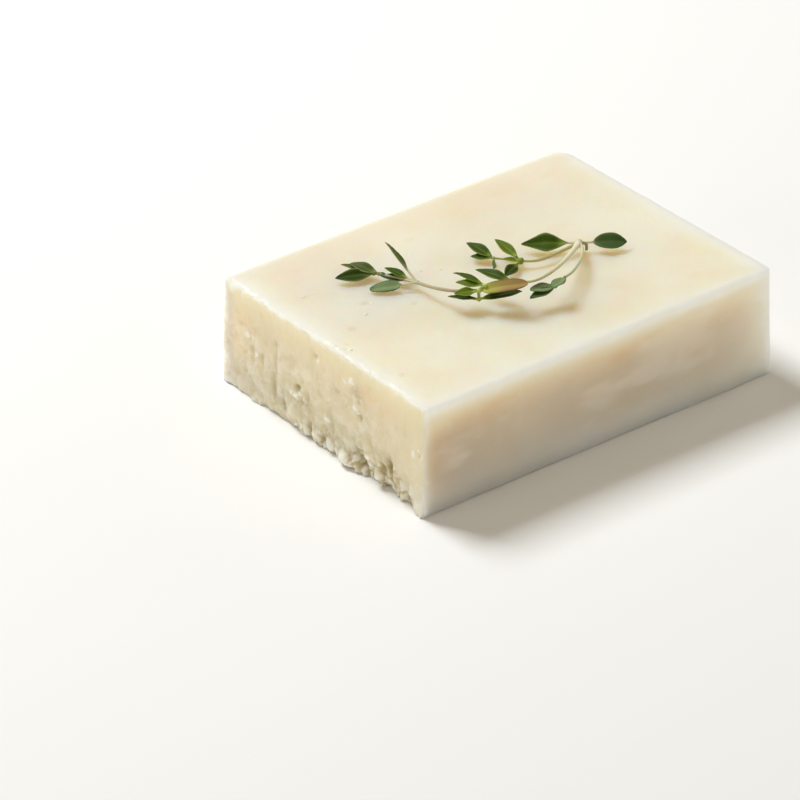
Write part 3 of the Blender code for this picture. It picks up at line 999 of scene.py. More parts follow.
@dataclass
class CheeseTones:
    """Weights of 0 to 1 that the finish reads, worked out at the block's points."""

    points: Array
    facing: Array
    pattern: CutPattern

    def __post_init__(self) -> None:
        """Work out what the weights share: distances, which face it is, and noise."""
        self.x, self.y, self.z = self.points.T
        self.down = BLOCK_HEIGHT - self.z
        centred = self.points - (0.0, 0.0, HALF_SIZE[2])
        self.edge = np.sort(HALF_SIZE - np.abs(centred), axis=1)[:, 1]
        self.cut = smoothstep(0.5, 0.9, -self.facing[:, 0])
        self.outward = highest(np.abs(self.facing[:, 1]), self.facing[:, 0])
        self.side = smoothstep(0.5, 0.9, self.outward)
        self.top = smoothstep(0.6, 1.0, self.facing[:, 2])
        self.far_cut = self.cut * fade(self.y, 31.0, 35.0)
        self.low_cut = self.cut * fade(self.z, 13.0, 4.0)
        self.ragged = rough(self.points, 3.0 * MM, Seed.RAGGED, 3)
        self.side_warm = highest(hills(self.x, self.z, SIDE_PATCHES), 0.6)

    def _rim(self) -> Array:
        """Pale ragged line along every edge, partly the drier edge's own colour and partly painted
        highlight, fainter at the foot and the near corner.

        Returns:
            The whiteness of the line.
        """
        by_cut = self.x < 3.0 * MM - HALF_LENGTH
        width = (np.where(by_cut, 0.7, 0.75) + 2.0 * self.far_cut) * (1.0 + 0.35 * self.ragged)
        rim = bell(self.edge, 0.0, highest(width, 0.2)) * (0.75 + 0.25 * self.ragged)
        rim *= 1.0 - 0.8 * fade(self.z, 2.0, 0.0) * (1.0 - self.cut)
        near_corner = by_cut & (self.y < 3.0 * MM - HALF_WIDTH)
        return rim * (1.0 - 0.85 * near_corner * fade(self.z, 1.0, 5.0) * fade(self.down, 1.0, 3.0))

    def _pale_and_lit(self) -> Array:
        """Paler parts of the sides and the top: milky clouds of the cheese's own, paler bands along
        the edges and next to the cut, and painted light under the top edge of the sides, at the far
        end and low on the near side.

        Returns:
            The whiteness of those parts, partly their own colour and partly painted light.
        """
        # Painted light: the far end, the band under the sides' top edge and the low middle of the
        # near side.
        glow_near_end = 0.9 * np.exp(-(HALF_LENGTH - self.x) / (10.0 * MM))
        glow_near_end *= 1.0 - 0.65 * smoothstep(0.9, 1.0, self.facing[:, 0])
        near_cut = 0.45 * np.exp(-(HALF_LENGTH + self.x) / (1.4 * MM))
        glow_under_top = bell(self.down, 0.0, 3.0) * smoothstep(0.1, 0.5, self.outward)
        milky = rough(self.points, (14.0 * MM, 14.0 * MM, 7.0 * MM), Seed.CLOUDS, 4)
        clouds = (0.05 + 0.3 * smoothstep(-0.1, 0.9, milky)) * (2.2 - 2.0 * self.side_warm)
        pale = highest(self.side * highest(glow_near_end, near_cut, clouds), glow_under_top)
        pale *= 0.55 + 0.45 * fade(self.z, -1.0, 8.0)
        low_light = 0.25 * bell(self.x, 5.0, 22.0) * fade(self.z, 10.0, 3.0)
        pale = highest(pale, self.side * low_light) * (0.9 + 0.2 * self.ragged)
        on_top = 0.9 * self.top * np.exp(-self.edge / (3.5 * MM))
        return highest(pale, on_top * (1.0 - 0.7 * fade(self.y, 29.0, 36.0)))

    def _cut_white_and_lit(self) -> Array:
        """Whiteness of the cut: its crumbs, partly their own colour and partly painted light, its
        foot near both corners and its far edge.

        Returns:
            The whiteness of the cut.
        """
        foot = 0.5 * fade(self.y, -28.0, -34.0) * fade(self.z, 8.0, 2.0)
        foot += 0.3 * fade(self.y, 20.0, 30.0) * fade(self.z, 5.0, 1.0)
        crumbs = highest(0.9 * self.pattern.bright, 0.75 * self.pattern.proud())
        crumbs = highest(crumbs, foot * (0.85 + 0.3 * self.ragged))
        return highest(self.cut * crumbs, 0.2 * self.far_cut)

    def _cut_hollow_shade(self) -> Array:
        """Painted shade in the cut's gaps and where crumbs were torn out of it."""
        dug = highest(*(min(c, 1.0) * hill(self.y, self.z, p) for *p, c in CRUMBS if c > 0.0))
        return self.cut * np.clip(0.8 * self.pattern.hollow_shade() + 0.7 * dug, 0.0, 1.0)

    def _pit_shade(self) -> Array:
        """Painted shade in the pits of the top, stronger in the deeper ones."""
        pits = (min(1.0, 3.0 * d) * hill(self.x, self.y, (a, b, r, r)) for a, b, r, d in TOP_PITS)
        return self.top * highest(*pits)

    def _warm_and_glow(self) -> Array:
        """Warm patches of the cut, and a painted warm glow on the sides, full from their middle
        height up.

        Returns:
            The share of the peach tone.
        """
        patches = hills(self.y, self.z, WARM_PATCHES) * (0.65 + 0.4 * self.ragged)
        # Painted light: warm glow of light coming through the top, on the sides.
        middle = fade(self.z, 1.0, 15.0) * np.clip(0.85 + 0.4 * self.ragged, 0.0, 1.0)
        return 0.8 * self.cut * patches + 0.9 * self.side * middle * self.side_warm

    def _painted_grey_shade(self) -> Array:
        """Painted shade, greyer: the sides towards the foot, the top's far left and back, the low
        cut and the cut's far edge.

        Returns:
            The share of the painted grey shade.
        """
        # Painted shade: greyer towards the foot of the sides, on the top's far left and back, low
        # on the cut and at its far edge.
        lift = 2.5 * MM * rough(self.points, 14.0 * MM, Seed.FOOT, 3)
        foot = fade(self.z + lift, 24.0, -3.0) * (1.0 - 0.3 * fade(self.x, 10.0, 45.0))
        left = fade(self.x, 8.0, -35.0) * fade(self.y, -15.0, 5.0)
        back = fade(self.y, 26.0, 35.0)
        grey_shade = 0.75 * self.side * foot + 0.2 * self.top * (left + back)
        return grey_shade + 0.12 * self.low_cut + 0.35 * self.far_cut

    def _shade(self) -> Array:
        """Browner parts: painted shade on the sides at middle height and a little all over and on
        the low cut, a painted shadow under the sprig's arch, and a browner part of the top towards
        the back right.

        Returns:
            The share of the painted brown shade.
        """
        dusk = fade(self.z, 24.0, 17.0) * fade(self.z, 3.0, 12.0)
        dusk *= np.interp(self.x / MM, *DUSK_ALONG)
        top_shade = 0.13 * fade(self.y, 0.0, 25.0) * fade(self.x, -15.0, 15.0)
        # Painted shadow under the sprig's arch.
        top_shade += 0.12 * hill(self.x, self.y, (2.0, -21.0, 15.0, 15.0))
        return self.side * (dusk + 0.07) + self.top * top_shade + 0.16 * self.low_cut

    def _shallow(self) -> Array:
        """Where light goes less deep: in broken cheese, at the far side, on the ground.

        Returns:
            How much less deep it goes, 0 to 1.
        """
        broken = BROKEN_SHALLOW * highest(self.cut * self.pattern.broken, self.far_cut)
        far = 0.5 * fade(self.y, 29.0, 36.0)
        return highest(broken, far, self.cut * fade(self.z, 6.0, 0.5))

    def weights(self) -> dict[str, Array]:
        """Return one set of weights of 0 to 1 for each name that the finish reads.

        Returns:
            The weights by their names.
        """
        hollow_shade = self._cut_hollow_shade()
        white_and_lit = highest(self._rim(), self._pale_and_lit(), self._cut_white_and_lit())
        found = {
            # Own whiteness with painted light laid on it.
            "white_and_lit": white_and_lit * (1.0 - 0.5 * hollow_shade),
            # Painted shade in hollows.
            "hollow_shade": highest(0.9 * hollow_shade, 0.25 * self._pit_shade()),
            "cut": self.cut,
            # Warm patches of the cut, and painted warm glow on the sides.
            "warm_and_glow": self._warm_and_glow(),
            # Painted shade: the grey layer.
            "foot": self._painted_grey_shade(),
            "above": self.top * fade(self.edge, 2.0, 7.0),
            # Painted shade and a painted shadow of the sprig.
            "shade": self._shade(),
            "deep": 1.0 - self._shallow(),
        }
        return {name: np.clip(values, 0.0, 1.0) for name, values in found.items()}


# ---------------------------------------------------------------- the block


@dataclass
class CheeseBlock:
    """The cut block: a closed box grid, rounded, leaned to its corners and weathered.

    The cut end keeps a share of the plain box's sharp edges, its crispness. The points along
    X come in bands that start at the cut end: the length of each band, and its step.
    """

    finish: CheeseFinish
    cut_end: CutEnd = CutEnd()
    edge_radius: float = 1.1 * MM
    edge_steps: int = 5
    crispness: float = 0.6
    step_across: float = 0.36 * MM
    step_up: float = 0.33 * MM
    steps_along: tuple[tuple[float, float], ...] = (
        (6.0 * MM, 0.38 * MM),
        (26.0 * MM, 0.8 * MM),
        (math.inf, 2.2 * MM),
    )
    side_wave: float = 0.25 * MM
    top_wave: float = 0.12 * MM
    top_grain: float = 0.03 * MM
    rim_chip: float = 0.38 * MM
    rim_nibble: float = 0.12 * MM

    def _stations(self, half: float, bands: tuple[tuple[float, float], ...]) -> Array:
        """Places from -half to half: close in the rounded edges, then by bands of steps.

        Args:
            half: Half the box's size along this axis, in metres.
            bands: Length of each band, from the first end on, and its step, in metres.

        Returns:
            The places in rising order.
        """
        edge = np.linspace(0.0, self.edge_radius, self.edge_steps + 1)[:-1]
        inner = half - self.edge_radius
        middle, start = [], -inner
        for reach, step in bands:
            end = min(start + reach, inner) if math.isfinite(reach) else inner
            count = max(1, int(round((end - start) / step)))
            middle.append(np.linspace(start, end, count + 1)[:-1])
            start = end
        return np.concatenate([-half + edge, *middle, [inner], (half - edge)[::-1]])

    @staticmethod
    def _box(x_places: Array, y_places: Array, z_places: Array) -> tuple[Array, Array]:
        """Six gridded faces of a box as one closed mesh of points and outward quads.

        Args:
            x_places: Places of the grid along X.
            y_places: Along Y.
            z_places: Along Z.

        Returns:
            The points, and four indices for each quad.
        """
        counts = (len(x_places), len(y_places), len(z_places))
        index = -np.ones(counts, dtype=np.int64)
        on_skin = np.ones(counts, dtype=bool)
        on_skin[1:-1, 1:-1, 1:-1] = False
        index[on_skin] = np.arange(on_skin.sum())
        where = np.argwhere(on_skin)
        points = np.stack(
            [x_places[where[:, 0]], y_places[where[:, 1]], z_places[where[:, 2]]], axis=1
        )
        faces = []
        for axis in range(3):
            for end in (0, -1):
                sheet = np.take(index, end, axis=axis)
                quads = np.stack(
                    [sheet[:-1, :-1], sheet[1:, :-1], sheet[1:, 1:], sheet[:-1, 1:]], axis=-1
                ).reshape(-1, 4)
                outward = (end == -1) != (axis == 1)
                faces.append(quads if outward else quads[:, ::-1])
        return points, np.concatenate(faces)

    def _rounded(self, points: Array) -> tuple[Array, Array]:
        """Round the edges: nearest point of the inner box, then the radius outwards.

        Args:
            points: The plain box's points.

        Returns:
            The rounded points, and the way that the surface faces at each of them.
        """
        radius = self.edge_radius
        inner = np.clip(points, radius - HALF_SIZE, HALF_SIZE - radius)
        offset = points - inner
        length = np.linalg.norm(offset, axis=1, keepdims=True)
        facing = offset / length
        crisp = self.crispness * (points[:, :1] < radius - HALF_LENGTH)
        return inner + facing * (radius * (1.0 - crisp) + length * crisp), facing

    @staticmethod
    def _round_plan(points: Array) -> Array:
        """Round each upright corner in plan, squares about its centre turning to circles.

        Args:
            points: The box's points.

        Returns:
            The moved points.
        """
        points = points.copy()
        for (end, side), radius in PLAN_RADIUS.items():
            centre = np.array([end * (HALF_LENGTH - radius), side * (HALF_WIDTH - radius)])
            outward = (points[:, :2] - centre) * (end, side)
            inside = (outward > 0.0).all(axis=1)
            reach = outward[inside]
            scale = reach.max(axis=1) / np.linalg.norm(reach, axis=1)
            points[inside, :2] = centre + reach * scale[:, None] * (end, side)
        return points

    @staticmethod
    def _lean(points: Array) -> Array:
        """Move the eight corners by CORNER_SHIFT and everything between in proportion.

        Args:
            points: The box's points.

        Returns:
            The moved points.
        """
        share = {
            0: (1.0 + points[:, 0] / HALF_LENGTH) / 2.0,
            1: (1.0 + points[:, 1] / HALF_WIDTH) / 2.0,
            2: points[:, 2] / BLOCK_HEIGHT,
        }
        moved = points.copy()
        for signs, shift in CORNER_SHIFT.items():
            weight = np.ones(len(points))
            for axis, sign in enumerate(signs):
                weight *= share[axis] if sign > 0 else 1.0 - share[axis]
            moved[:, :2] += weight[:, None] * np.array(shift) * MM
        return moved

    def _weathered(self, points: Array, facing: Array, fine: Array) -> Array:
        """Move the leaned points: relief on the cut, soft waves on the other sides.

        Args:
            points: The leaned box's points.
            facing: The way that each of them faces.
            fine: Depth of the fine relief of the cut end, in metres.

        Returns:
            The moved points.
        """
        moved = points.copy()
        behind = points[:, 0] + HALF_LENGTH
        moved[:, 0] += self.cut_end.torn_out(points) * fade(behind, 3.5, 0.0)
        moved[:, 0] += self.cut_end.crumbled(points) * fade(behind, 9.0, 0.0)
        moved[:, 0] += fine * smoothstep(0.35, 0.85, -facing[:, 0])
        upright = 1.0 - smoothstep(0.5, 1.0, np.abs(facing[:, 2]))
        wave = self.side_wave * (rough(points, 17.0 * MM, Seed.SIDE_WAVE, 3) - 0.3)
        moved[:, :2] += facing[:, :2] * (wave * upright)[:, None]
        rim = np.clip(-4.0 * facing[:, 0] * np.clip(facing[:, 2], 0.0, 1.0), 0.0, 1.0)
        nick = self.rim_chip * smoothstep(0.0, 0.9, rough(points, 2.2 * MM, Seed.CHIPS, 2))
        nick += self.rim_nibble * rough(points, 0.9 * MM, Seed.NIBBLES, 2)
        moved -= facing * (rim * nick)[:, None]
        wave = self.top_wave * (1.0 + rough(points, 14.0 * MM, Seed.TOP_WAVE, 2)) / 2.0
        moved[:, 2] -= smoothstep(0.6, 1.0, facing[:, 2]) * (wave + self._pitted(points))
        return moved

    def _pitted(self, points: Array) -> Array:
        """How far the top is grained and pitted at each point, in metres.

        Args:
            points: The leaned box's points.

        Returns:
            One depth for each point.
        """
        depth = self.top_grain * rough(points, 2.4 * MM, Seed.TOP_GRAIN, 2)
        for place_x, place_y, radius, pit in TOP_PITS:
            patch = (place_x, place_y, radius, radius)
            depth += pit * MM * hill(points[:, 0], points[:, 1], patch)
        return depth

    def build(self) -> bpy.types.Object:
        """Build the block as one closed piece.

        Returns:
            The piece, which stands for the block's solid.
        """
        plain, faces = self._box(
            self._stations(HALF_LENGTH, self.steps_along),
            self._stations(HALF_WIDTH, ((math.inf, self.step_across),)),
            self._stations(HALF_SIZE[2], ((math.inf, self.step_up),)),
        )
        points, facing = self._rounded(plain)
        points[:, 2] += HALF_SIZE[2]
        points = self._lean(self._round_plan(points))
        fine, pattern = self.cut_end.fine(points)
        moved = self._weathered(points, facing, fine)
        moved[:, 2] = highest(moved[:, 2], 0.0)
        piece = make_piece(
            "cheese", moved, faces, self.finish.build(), "cheese_block"
        )
        for name, values in CheeseTones(points, facing, pattern).weights().items():
            add_weight(piece, name, values)
        return piece


# ---------------------------------------------------------------- balls and tubes


def ball_points(rings: int, sides: int) -> Array:
    """Points of a unit ball: the upper pole, rings of equal polar steps, the lower pole.

    Args:
        rings: Number of rings.
        sides: Points in each ring.

    Returns:
        Three coordinates for each point, in the order that tube_faces joins them.
    """
    polar = np.linspace(0.0, np.pi, rings + 2)[1:-1, None]
    turn = np.linspace(0.0, 2.0 * np.pi, sides, endpoint=False)
    ring = np.stack(
        [
            np.sin(polar) * np.cos(turn),
            np.sin(polar) * np.sin(turn),
            np.cos(polar) * np.ones_like(turn),
        ],
        axis=-1,
    )
    return np.concatenate([[(0.0, 0.0, 1.0)], ring.reshape(-1, 3), [(0.0, 0.0, -1.0)]])


def tube_faces(rows: int, sides: int) -> Array:
    """Triangles of a closed tube: a pole, rows of rings and the other pole.

    Args:
        rows: Number of rings.
        sides: Points in each ring.

    Returns:
        Outward triangles for points in the order pole, rings, pole, where each ring runs
        anticlockwise seen from the second pole when the first pole points at the viewer.
    """
    index = 1 + np.arange(rows * sides).reshape(rows, sides)
    after = np.roll(index, -1, axis=1)
    first = np.stack([np.zeros(sides, dtype=int), index[0], after[0]], axis=-1)
    lower = np.stack([index[:-1], index[1:], after[1:]], axis=-1).reshape(-1, 3)
    upper = np.stack([index[:-1], after[1:], after[:-1]], axis=-1).reshape(-1, 3)
    end = np.full(sides, rows * sides + 1)
    last = np.stack([index[-1], end, after[-1]], axis=-1)
    return np.concatenate([first, lower, upper, last])


# ---------------------------------------------------------------- loose crumbs


@dataclass
class LooseCrumbs:
    """Small crumbs that lie on the top, most of them near the cut.

    The scattered ones thin out from the first to the last place along X, on a strip of that
    half width, with radii from the least to the most, and sit a little sunk into the top.
    These sizes are in mm. Each crumb is a flattened ball whose unevenness comes from its own
    stretch of the noise, with bumps of that size in radii.
    """

    finish: bpy.types.Material
    seed: int = 7
    scattered: int = 14
    first: float = -47.8
    thinning: float = 6.5
    last: float = 40.0
    half_strip: float = 34.0
    least: float = 0.08
    most: float = 0.16
    sunk: float = 0.08
    raised: float = 0.1
    rings: int = 8
    sides: int = 12
    flatness: tuple[float, float, float] = (1.2, 0.9, 0.36)
    unevenness: float = 0.28
    bump: float = 0.8
    apart: float = 7.3

    def _places(self) -> Array:
        """Scatter the crumbs behind the named ones.

        Returns:
            Centre and radius of each crumb in mm, four numbers.
        """
        random = np.random.default_rng(self.seed)
        reach = self.first + random.exponential(self.thinning, self.scattered)
        across = random.uniform(-self.half_strip, self.half_strip, self.scattered)
        radius = random.uniform(self.least, self.most, self.scattered)
        rest = np.column_stack([np.minimum(reach, self.last), across, radius])
        flat = np.concatenate([np.array(TOP_CRUMBS), rest])
        height = BLOCK_HEIGHT / MM - self.sunk + self.raised * flat[:, 2]
        return np.column_stack([flat[:, 0], flat[:, 1], height, flat[:, 2]])

    def build(self) -> bpy.types.Object:
        """Build all crumbs as one piece of closed lumps, each a flattened uneven ball.

        Returns:
            The piece.
        """
        places = self._places()
        ball = ball_points(self.rings, self.sides)
        spread = np.broadcast_to(ball, (len(places), *ball.shape))
        number = np.arange(len(places))[:, None, None]
        bumps = rough(spread + self.apart * number, self.bump, Seed.LOOSE_CRUMBS, 2)
        uneven = 1.0 + self.unevenness * bumps
        points = spread * uneven[..., None] * self.flatness * places[:, None, 3:]
        points = (points + places[:, None, :3]) * MM
        faces = tube_faces(self.rings, self.sides)
        return make_piece(
            "loose_crumbs",
            points.reshape(-1, 3),
            (faces + number * len(ball)).reshape(-1, 3),
            self.finish,
            "cheese_block",
        )


# ---------------------------------------------------------------- the sprig


@dataclass(frozen=True)
class LeafColors:
    """Colours of a leaf, as display colours of 0 to 255.

    The tip colour starts at a share of the length, the margin's at one of the half width.
    """

    face: Color
    margin: Color
    base: Color
    tip: Color
    under: Color = (124, 140, 92)
    tip_from: float = 0.75
    margin_from: float = 0.75


class Tint(Enum):
    """The greens that leaves of the sprig come in."""

    DARK = LeafColors((46, 64, 4), (132, 148, 84), (120, 138, 50), (44, 54, 10))
    MID = LeafColors((60, 82, 4), (132, 150, 78), (132, 154, 56), (54, 70, 10))
    BRIGHT = LeafColors((94, 112, 12), (152, 168, 76), (168, 186, 74), (74, 86, 18))
    GREY = LeafColors((80, 94, 40), (156, 158, 120), (142, 150, 88), (104, 100, 76))
    BLUE = LeafColors((66, 88, 44), (104, 124, 78), (100, 120, 66), (52, 68, 32))
    PALE = LeafColors(
        (126, 146, 100), (58, 80, 32), (128, 148, 96), (84, 106, 56), (70, 88, 40), 0.75, 0.6
    )
    CENTRE = LeafColors(
        (168, 162, 76), (92, 74, 34), (184, 190, 84), (162, 128, 78), (74, 78, 24), 0.2, 0.55
    )


@dataclass(frozen=True)
class Leaf:
    """A leaf: heading, rise and roll in degrees, then stalk, length and width in mm.

    The arch is a share of the length, a lower taper makes a blunter outline, and diamond
    is the share of a diamond's outline in it.
    """

    heading: float
    rise: float
    roll: float
    stalk: float
    length: float
    width: float
    arch: float = 0.0
    taper: float = 0.8
    tint: Tint = Tint.MID
    diamond: float = 0.0


@dataclass(frozen=True)
class Stem:
    """A stem: radii at its two ends in mm, its two end colours, and its route.

    A bend over 1 keeps the start's radius for longer, and one below 1 the end's.
    """

    start_radius: float
    end_radius: float
    start_color: Color
    end_color: Color
    route: tuple[Place, ...]
    bend: float = 1.0


TAN = (188, 174, 136)
STRAW = (204, 192, 138)
WHITISH = (228, 222, 190)
GREENISH = (160, 164, 92)
STEMS = (
    Stem(0.22, 0.36, (150, 160, 92), WHITISH, ("tip", "tip_pair", "left")),
    Stem(0.40, 0.42, TAN, TAN, (
        "left", (-19.2, -0.4, 3.0), (-17.4, -6.0, 4.0), "mid",
    )),
    Stem(0.34, 0.72, STRAW, (238, 232, 202), (
        "mid", "hidden", (-2.2, -16.1, 5.9), (2.2, -15.8, 6.1), (7.5, -13.5, 5.6),
        (14.3, -9.1, 4.2), "fork",
    ), 2.4),
    Stem(0.55, 0.24, STRAW, (172, 174, 92), (
        "fork", (15.4, -3.9, 1.8), (10.9, -3.8, 1.6), (8.4, -3.2, 1.5), "branch", "twig",
    ), 0.4),
    Stem(0.55, 0.24, WHITISH, (150, 156, 108), (
        "fork", (18.9, -7.5, 2.8), (15.7, -11.0, 3.4), (12.2, -13.9, 3.9), (8.3, -16.5, 4.5),
        "hook", "hook_end",
    ), 0.4),
    Stem(0.36, 0.34, GREENISH, GREENISH, ("crown", "mid", "foot")),
    Stem(0.40, 0.30, TAN, (150, 134, 96), ("fork", (22.0, -5.0, 2.0), (21.8, -5.6, 0.6))),
)
KNOB_COLORS = {
    "tip": (132, 146, 78),
    "tip_pair": (132, 146, 78),
    "left": (212, 208, 172),
    "mid": (190, 200, 96),
    "crown": (184, 196, 90),
    "foot": (170, 186, 88),
    "hidden": (150, 158, 84),
    "fork": (218, 212, 184),
    "branch": (128, 150, 46),
    "twig": (146, 162, 84),
    "hook": (132, 150, 100),
    "hook_end": (132, 150, 100),
}
TUFTS = {
    "tip": (
        Leaf(154, -1, -22, 0.6, 8.4, 3.7, tint=Tint.DARK),
        Leaf(-60, 14, 0, 0.8, 2.2, 1.2, tint=Tint.GREY),
    ),
    "tip_pair": (
        Leaf(115, 6, -12, 0.6, 6.9, 2.9, 0.03, tint=Tint.GREY),
        Leaf(117, 1, -5, 2.9, 6.8, 2.0, tint=Tint.GREY),
    ),
    "left": (
        Leaf(89, 23, 30, 4.3, 8.9, 2.7, 0.01, tint=Tint.GREY),
        Leaf(147, -7, -22, 3.8, 7.1, 3.2, 0.0, 0.45, Tint.PALE),
        Leaf(110, 8, -5, 3.0, 5.9, 2.3, 0.02, tint=Tint.MID),
        Leaf(116, -3, -12, 3.2, 6.2, 2.5, tint=Tint.DARK),
    ),
    "mid": (
        Leaf(152, -3, -15, 0.7, 5.0, 2.7, tint=Tint.BRIGHT),
        Leaf(-40, 11, 20, 0.7, 10.4, 3.8, 0.0, 0.4, Tint.CENTRE),
    ),
    "crown": (
        Leaf(111, 5, 0, 0.8, 7.7, 1.9, 0.06, tint=Tint.MID),
        Leaf(127, -1, -15, 0.8, 6.1, 2.3, tint=Tint.BRIGHT),
    ),
    "foot": (
        Leaf(138, 3, 5, 0.6, 6.5, 2.6, tint=Tint.DARK),
        Leaf(-31, 8, 12, 0.9, 9.0, 2.9, tint=Tint.DARK),
    ),
    "hidden": (
        Leaf(114, 5, -8, 1.7, 8.8, 3.0, 0.02, tint=Tint.MID),
        Leaf(115, -13, -5, 2.5, 3.5, 2.1, tint=Tint.PALE),
    ),
    "branch": (
        Leaf(-160, -5, -15, 1.8, 5.2, 2.9, tint=Tint.DARK),
        Leaf(94, 13, -10, 1.3, 7.7, 2.7, 0.02, tint=Tint.BRIGHT),
        Leaf(152, 14, 0, 0.5, 3.6, 1.9, tint=Tint.BRIGHT),
    ),
    "twig": (
        Leaf(102, 8, -12, 0.6, 7.5, 3.0, 0.02, tint=Tint.MID),
        Leaf(125, -4, -15, 0.5, 5.0, 2.3, tint=Tint.MID),
        Leaf(-126, -9, -40, 1.2, 2.7, 1.2, tint=Tint.PALE),
    ),
    "fork": (
        Leaf(-31, -2, 28, 3.3, 7.9, 4.6, 0.0, 0.7, Tint.BLUE),
        Leaf(143, -1, -28, 2.9, 10.4, 5.4, 0.0, 1.0, Tint.MID, 0.9),
    ),
    "hook": (
        Leaf(-161, -2, 5, 0.5, 4.8, 3.0, 0.0, 0.45, Tint.PALE),
    ),
    "hook_end": (
        Leaf(158, 1, -12, 0.5, 5.6, 3.1, 0.0, 0.5, Tint.PALE),
        Leaf(172, -9, -10, 0.7, 6.2, 2.7, 0.0, 0.6, Tint.BLUE),
    ),
}


@dataclass(frozen=True)
class LeafFinish:
    """Fresh leaf: the stored colour, broken by fine mottling, with a satin skin."""

    patch: Color = (150, 168, 96)
    speck: Color = (150, 162, 96)
    roughness: float = 0.55
    mottle: float = 0.22

    def build(self) -> bpy.types.Material:
        """Build the material.

        Returns:
            A material that reads the colour stored at the points.
        """
        graph = Graph("thyme_leaf")
        tint = graph.tint("tint")
        patch = graph.ease(graph.noise(1.1 * MM, 3.0), 0.35, 0.75, self.mottle)
        color = graph.mix(patch, tint, linear(self.patch), "SOFT_LIGHT")
        speck = graph.ease(graph.noise(0.28 * MM, 2.0), 0.62, 0.8, 0.12)
        color = graph.mix(speck, color, linear(self.speck))
        graph.set(
            Base_Color=color,
            Roughness=self.roughness,
            Subsurface_Weight=0.05,
            Subsurface_Scale=0.6 * MM,
            Specular_IOR_Level=0.15,
        )
        graph.bump(graph.noise(0.35 * MM, 2.0), 0.04 * MM, 0.4)
        return graph.material


@dataclass(frozen=True)
class StemFinish:
    """Thin woody stem: the stored colour, streaked along its length."""

    bark: Color = (140, 122, 84)
    fuzz: Color = (222, 216, 194)
    roughness: float = 0.62

    def build(self) -> bpy.types.Material:
        """Build the material.

        Returns:
            A material that reads the colour stored at the points.
        """
        graph = Graph("thyme_stem")
        streak = graph.noise(0.5 * MM, 4.0)
        shade = graph.ease(streak, 0.45, 0.75, 0.28)
        color = graph.mix(shade, graph.tint("tint"), linear(self.bark))
        fuzz = graph.ease(graph.noise(0.22 * MM, 2.0), 0.6, 0.8, 0.35)
        color = graph.mix(fuzz, color, linear(self.fuzz))
        graph.set(
            Base_Color=color,
            Roughness=self.roughness,
            Subsurface_Weight=0.1,
            Subsurface_Scale=0.5 * MM,
        )
        graph.bump(streak, 0.05 * MM, 0.5)
        return graph.material


def sprig_point(place: Place) -> Array:
    """World position of a joint's name or of a free point of the sprig.

    Args:
        place: The joint's name, or X, Y and height over the cheese in mm.

    Returns:
        Three coordinates in metres.
    """
    x, y, height = JOINTS[place][:3] if isinstance(place, str) else place
    return np.array([x * MM, y * MM, BLOCK_HEIGHT + height * MM])


